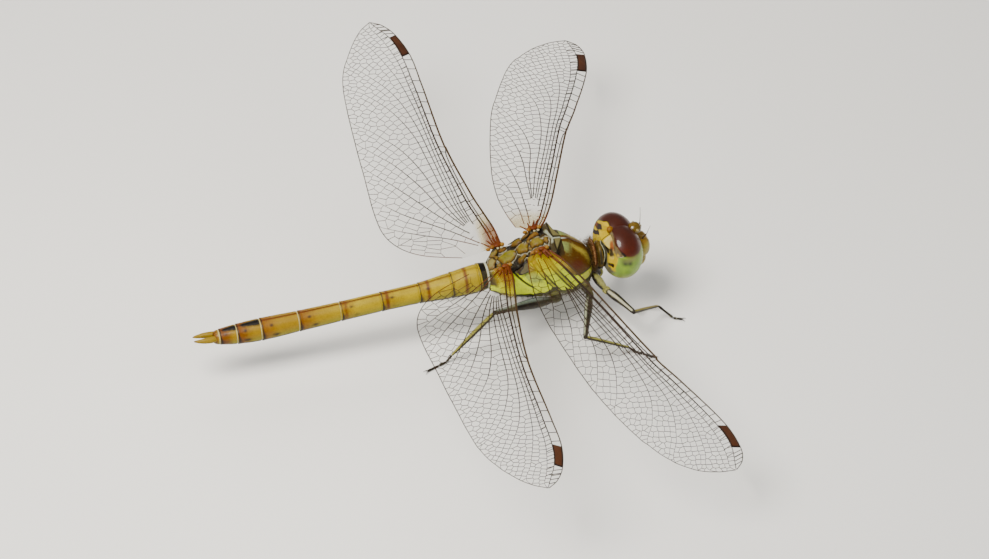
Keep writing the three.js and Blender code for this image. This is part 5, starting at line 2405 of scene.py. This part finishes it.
@dataclass
class Studio:
    """Floor, soft lights and the camera that looks down from the animal's right front."""

    azimuth: float = -14.7
    elevation: float = 42.7
    distance: float = 700.0
    lens: float = 299.7
    right_shift: float = -0.638
    up_shift: float = -2.0
    sensor: float = 36.0
    nearest: float = 0.01
    furthest: float = 10.0
    floor_half: float = 1.2
    floor_depth: float = 0.01

    def build(self) -> None:
        """Builds the floor, the lights, the surroundings and the camera."""
        self.floor()
        self.light("key", (-62, -32, 138), 84, 0.5, (1.0, 0.97, 0.92))
        self.light("fill", (120, -90, 90), 160, 0.15, (0.93, 0.96, 1.0))
        self.light("back", (20, 150, 110), 130, 0.18, (1.0, 0.98, 0.95))
        world = bpy.data.worlds.new("studio")
        world.use_nodes = True
        world.node_tree.nodes["Background"].inputs["Color"].default_value = tone("dfe4ea")
        world.node_tree.nodes["Background"].inputs["Strength"].default_value = 0.3
        bpy.context.scene.world = world
        self.camera()

    def floor(self) -> None:
        """A wide flat slab with its top at the feet."""
        half, z = self.floor_half, CAD_BOX[0][2]
        ring = ((-half, -half), (half, -half), (half, half), (-half, half))
        corners = [(a, b, c) for c in (z - self.floor_depth, z) for a, b in ring]
        faces = [(3, 2, 1, 0), (4, 5, 6, 7), (0, 1, 5, 4), (1, 2, 6, 5), (2, 3, 7, 6), (3, 0, 4, 7)]
        mesh = bpy.data.meshes.new("floor")
        mesh.from_pydata(corners, [], faces)
        floor = bpy.data.objects.new("floor", mesh)
        floor.data.materials.append(FloorFinish().build())
        bpy.context.scene.collection.objects.link(floor)

    def light(
        self, name: str, place: Sequence[float], size: float, power: float, colour: Sequence[float],
    ) -> None:
        """A round area light, in millimetres, that faces the middle of the animal.

        Args:
            name: the light's name.
            place: where it hangs.
            size: how wide it is.
            power: in watts.
            colour: red, green and blue.
        """
        lamp = bpy.data.lights.new(name, "AREA")
        lamp.shape = "DISK"
        lamp.size = size * MM
        lamp.energy = power
        lamp.color = colour
        made = bpy.data.objects.new(name, lamp)
        made.visible_glossy = name == "key"
        where = Vector(place) * MM
        made.location = where
        made.rotation_euler = (Vector((0, 0, 0.006)) - where).to_track_quat("-Z", "Y").to_euler()
        bpy.context.scene.collection.objects.link(made)

    def camera(self) -> None:
        """The camera: its back, right and up directions come from its azimuth and elevation."""
        (cos_a, sin_a), (cos_e, sin_e) = cos_sin(self.azimuth), cos_sin(self.elevation)
        back = np.array([sin_a * cos_e, -cos_a * cos_e, sin_e])
        right = np.array([cos_a, sin_a, 0])
        up = np.cross(back, right)
        aim = np.array([0, 0, 8.0]) + SHIFT + right * self.right_shift + up * self.up_shift
        data = bpy.data.cameras.new("camera")
        data.lens, data.sensor_width = self.lens, self.sensor
        data.clip_start, data.clip_end = self.nearest, self.furthest
        made = bpy.data.objects.new("camera", data)
        turn = Matrix([list(right), list(up), list(back)]).transposed().to_4x4()
        made.matrix_world = Matrix.Translation((aim + back * self.distance) * MM) @ turn
        bpy.context.scene.collection.objects.link(made)
        bpy.context.scene.camera = made


FORE_STATIONS = (
    (-0.3, 0.45, -1.5), (1.5, 0.85, -2.5), (4, 1.05, -3.6), (8, 1.1, -4.6), (14.8, 1.2, -5.45),
    (18, 1.55, -5.5),
    (23.7, 1.95, -4.8), (26.5, 1.5, -3.3), (27.8, 0.7, -1.7), (28.35, -0.3, -0.31),
)
HIND_STATIONS = (
    (-0.3, 0.35, -2.9), (1.5, 0.45, -6.2), (3.5, 0.3, -7.9), (6, 0.1, -8.4), (12.2, 0.05, -7.5),
    (20, 0.85, -6.1),
    (23.5, 1.15, -5.1), (26.3, 0.8, -3.3), (27.8, 0.1, -1.9), (28.5, -0.7, -0.71),
)


def wings() -> list[Wing]:
    """The four wings, each with its own set of the body.

    Returns:
        The wings, the left one of each pair first.
    """
    fore = dict(
        name="forewing", root=(3.24, 1.6, 9.07), stations=FORE_STATIONS, veins=fore_veins(),
        stigma=(23.75, 26.35), nodus=14.8,
    )
    hind = dict(
        name="hindwing", root=(-0.1, 1.54, 7.91), stations=HIND_STATIONS, veins=hind_veins(),
        stigma=(23.5, 26.1), nodus=12.2,
    )
    return [
        Wing(side=Side.LEFT, sweep=21.3, rise=-6.6, pitch=-0.3, seed=1, **fore),
        Wing(side=Side.RIGHT, sweep=20.3, rise=-6.5, pitch=-1.1, seed=2, **fore),
        Wing(side=Side.LEFT, sweep=-6.8, rise=5.0, pitch=5.5, seed=3, **hind),
        Wing(side=Side.RIGHT, sweep=-6.2, rise=3.1, pitch=5.9, seed=4, **hind),
    ]


def legs() -> list[Leg]:
    """The six legs with each one's points, outward along Y.

    Returns:
        The legs from front to rear, the right one of each pair first.
    """
    roots = {
        "fore": ((7.85, 0.75, 4.8), (8.84, 0.95, 3.0)), "middle": ((6.9, 0.7, 4.1), (7.46, 1.2, 3.04)),
        "hind": ((4.1, 0.8, 4.3), (4.69, 1.3, 3.18)),
    }
    # Knee, ankle, pad and toe.
    ways = (
        ("fore", Side.RIGHT, (10.34, 4.9, 3.46), (13.15, 2.6, 1.45), (14.4, 3.03, 0.22), (15.05, 3.32, 0.22)),
        ("fore", Side.LEFT, (10.15, 4.6, 3.5), (11.3, 4.0, 0.95), (11.8, 4.05, 0.22), (13.0, 4.2, 0.22)),
        ("middle", Side.RIGHT, (5.6, 6.6, 3.2), (9.6, 6.15, 0.62), (10.1, 6.25, 0.22), (11.5, 7.3, 0.22)),
        ("middle", Side.LEFT, (5.6, 6.6, 3.2), (9.6, 6.15, 0.62), (10.1, 6.25, 0.22), (11.5, 7.2, 0.22)),
        ("hind", Side.RIGHT, (-1.44, 3.04, 4.49), (-5.3, 3.32, 0.68), (-5.8, 3.42, 0.22), (-7.6, 4.1, 0.22)),
        ("hind", Side.LEFT, (-1.3, 2.9, 4.25), (-4.8, 4.3, 0.68), (-5.2, 4.45, 0.22), (-6.7, 5.2, 0.22)),
    )
    return [Leg(name, side, *roots[name], *way, 1.3 if name == "hind" else 1.0) for name, side, *way in ways]


def main() -> None:
    """Builds the animal from tail to wings, then the studio."""
    logging.basicConfig(level=logging.INFO, format="%(name)s: %(message)s")
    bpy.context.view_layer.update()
    Abdomen().build()
    thorax = Thorax()
    thorax.build()
    Head().build()
    finishes = {
        # The middle and hind roots' dark tones are partly painted shade under the thorax. The hind thigh's
        # bluish grey line is partly a painted highlight.
        "fore": Leg.finish("bcb89c", "7a6c24", "b4ae60", 1.5),
        "middle": Leg.finish("acb094", "949040", "3e3a22", 3.0),
        "hind": Leg.finish("7e8880", "908a3c", "3a3720", 3.0),
    }
    for leg in legs():
        leg.build(finishes[leg.name])
    film = FilmFinish().build()
    vein = Cuticle(
        "wing_veins", "20150c", "2c1c10",
        (Layer("tint", "443014", 0.5), Layer("ruddy", "4e2203", 0.95, 0.1)), 0.42, gloss=0.08, shine=0.18,
    ).build()
    stigma = Cuticle(
        "wing_cell", "361a08", "44240e", (Layer("edge", "0e0805", 0.95),), 0.38, gloss=0.15
    ).build()
    for wing in wings():
        wing.build(film, vein, stigma)
    Hair().build(thorax)
    Studio().build()


if __name__ == "__main__":
    main()
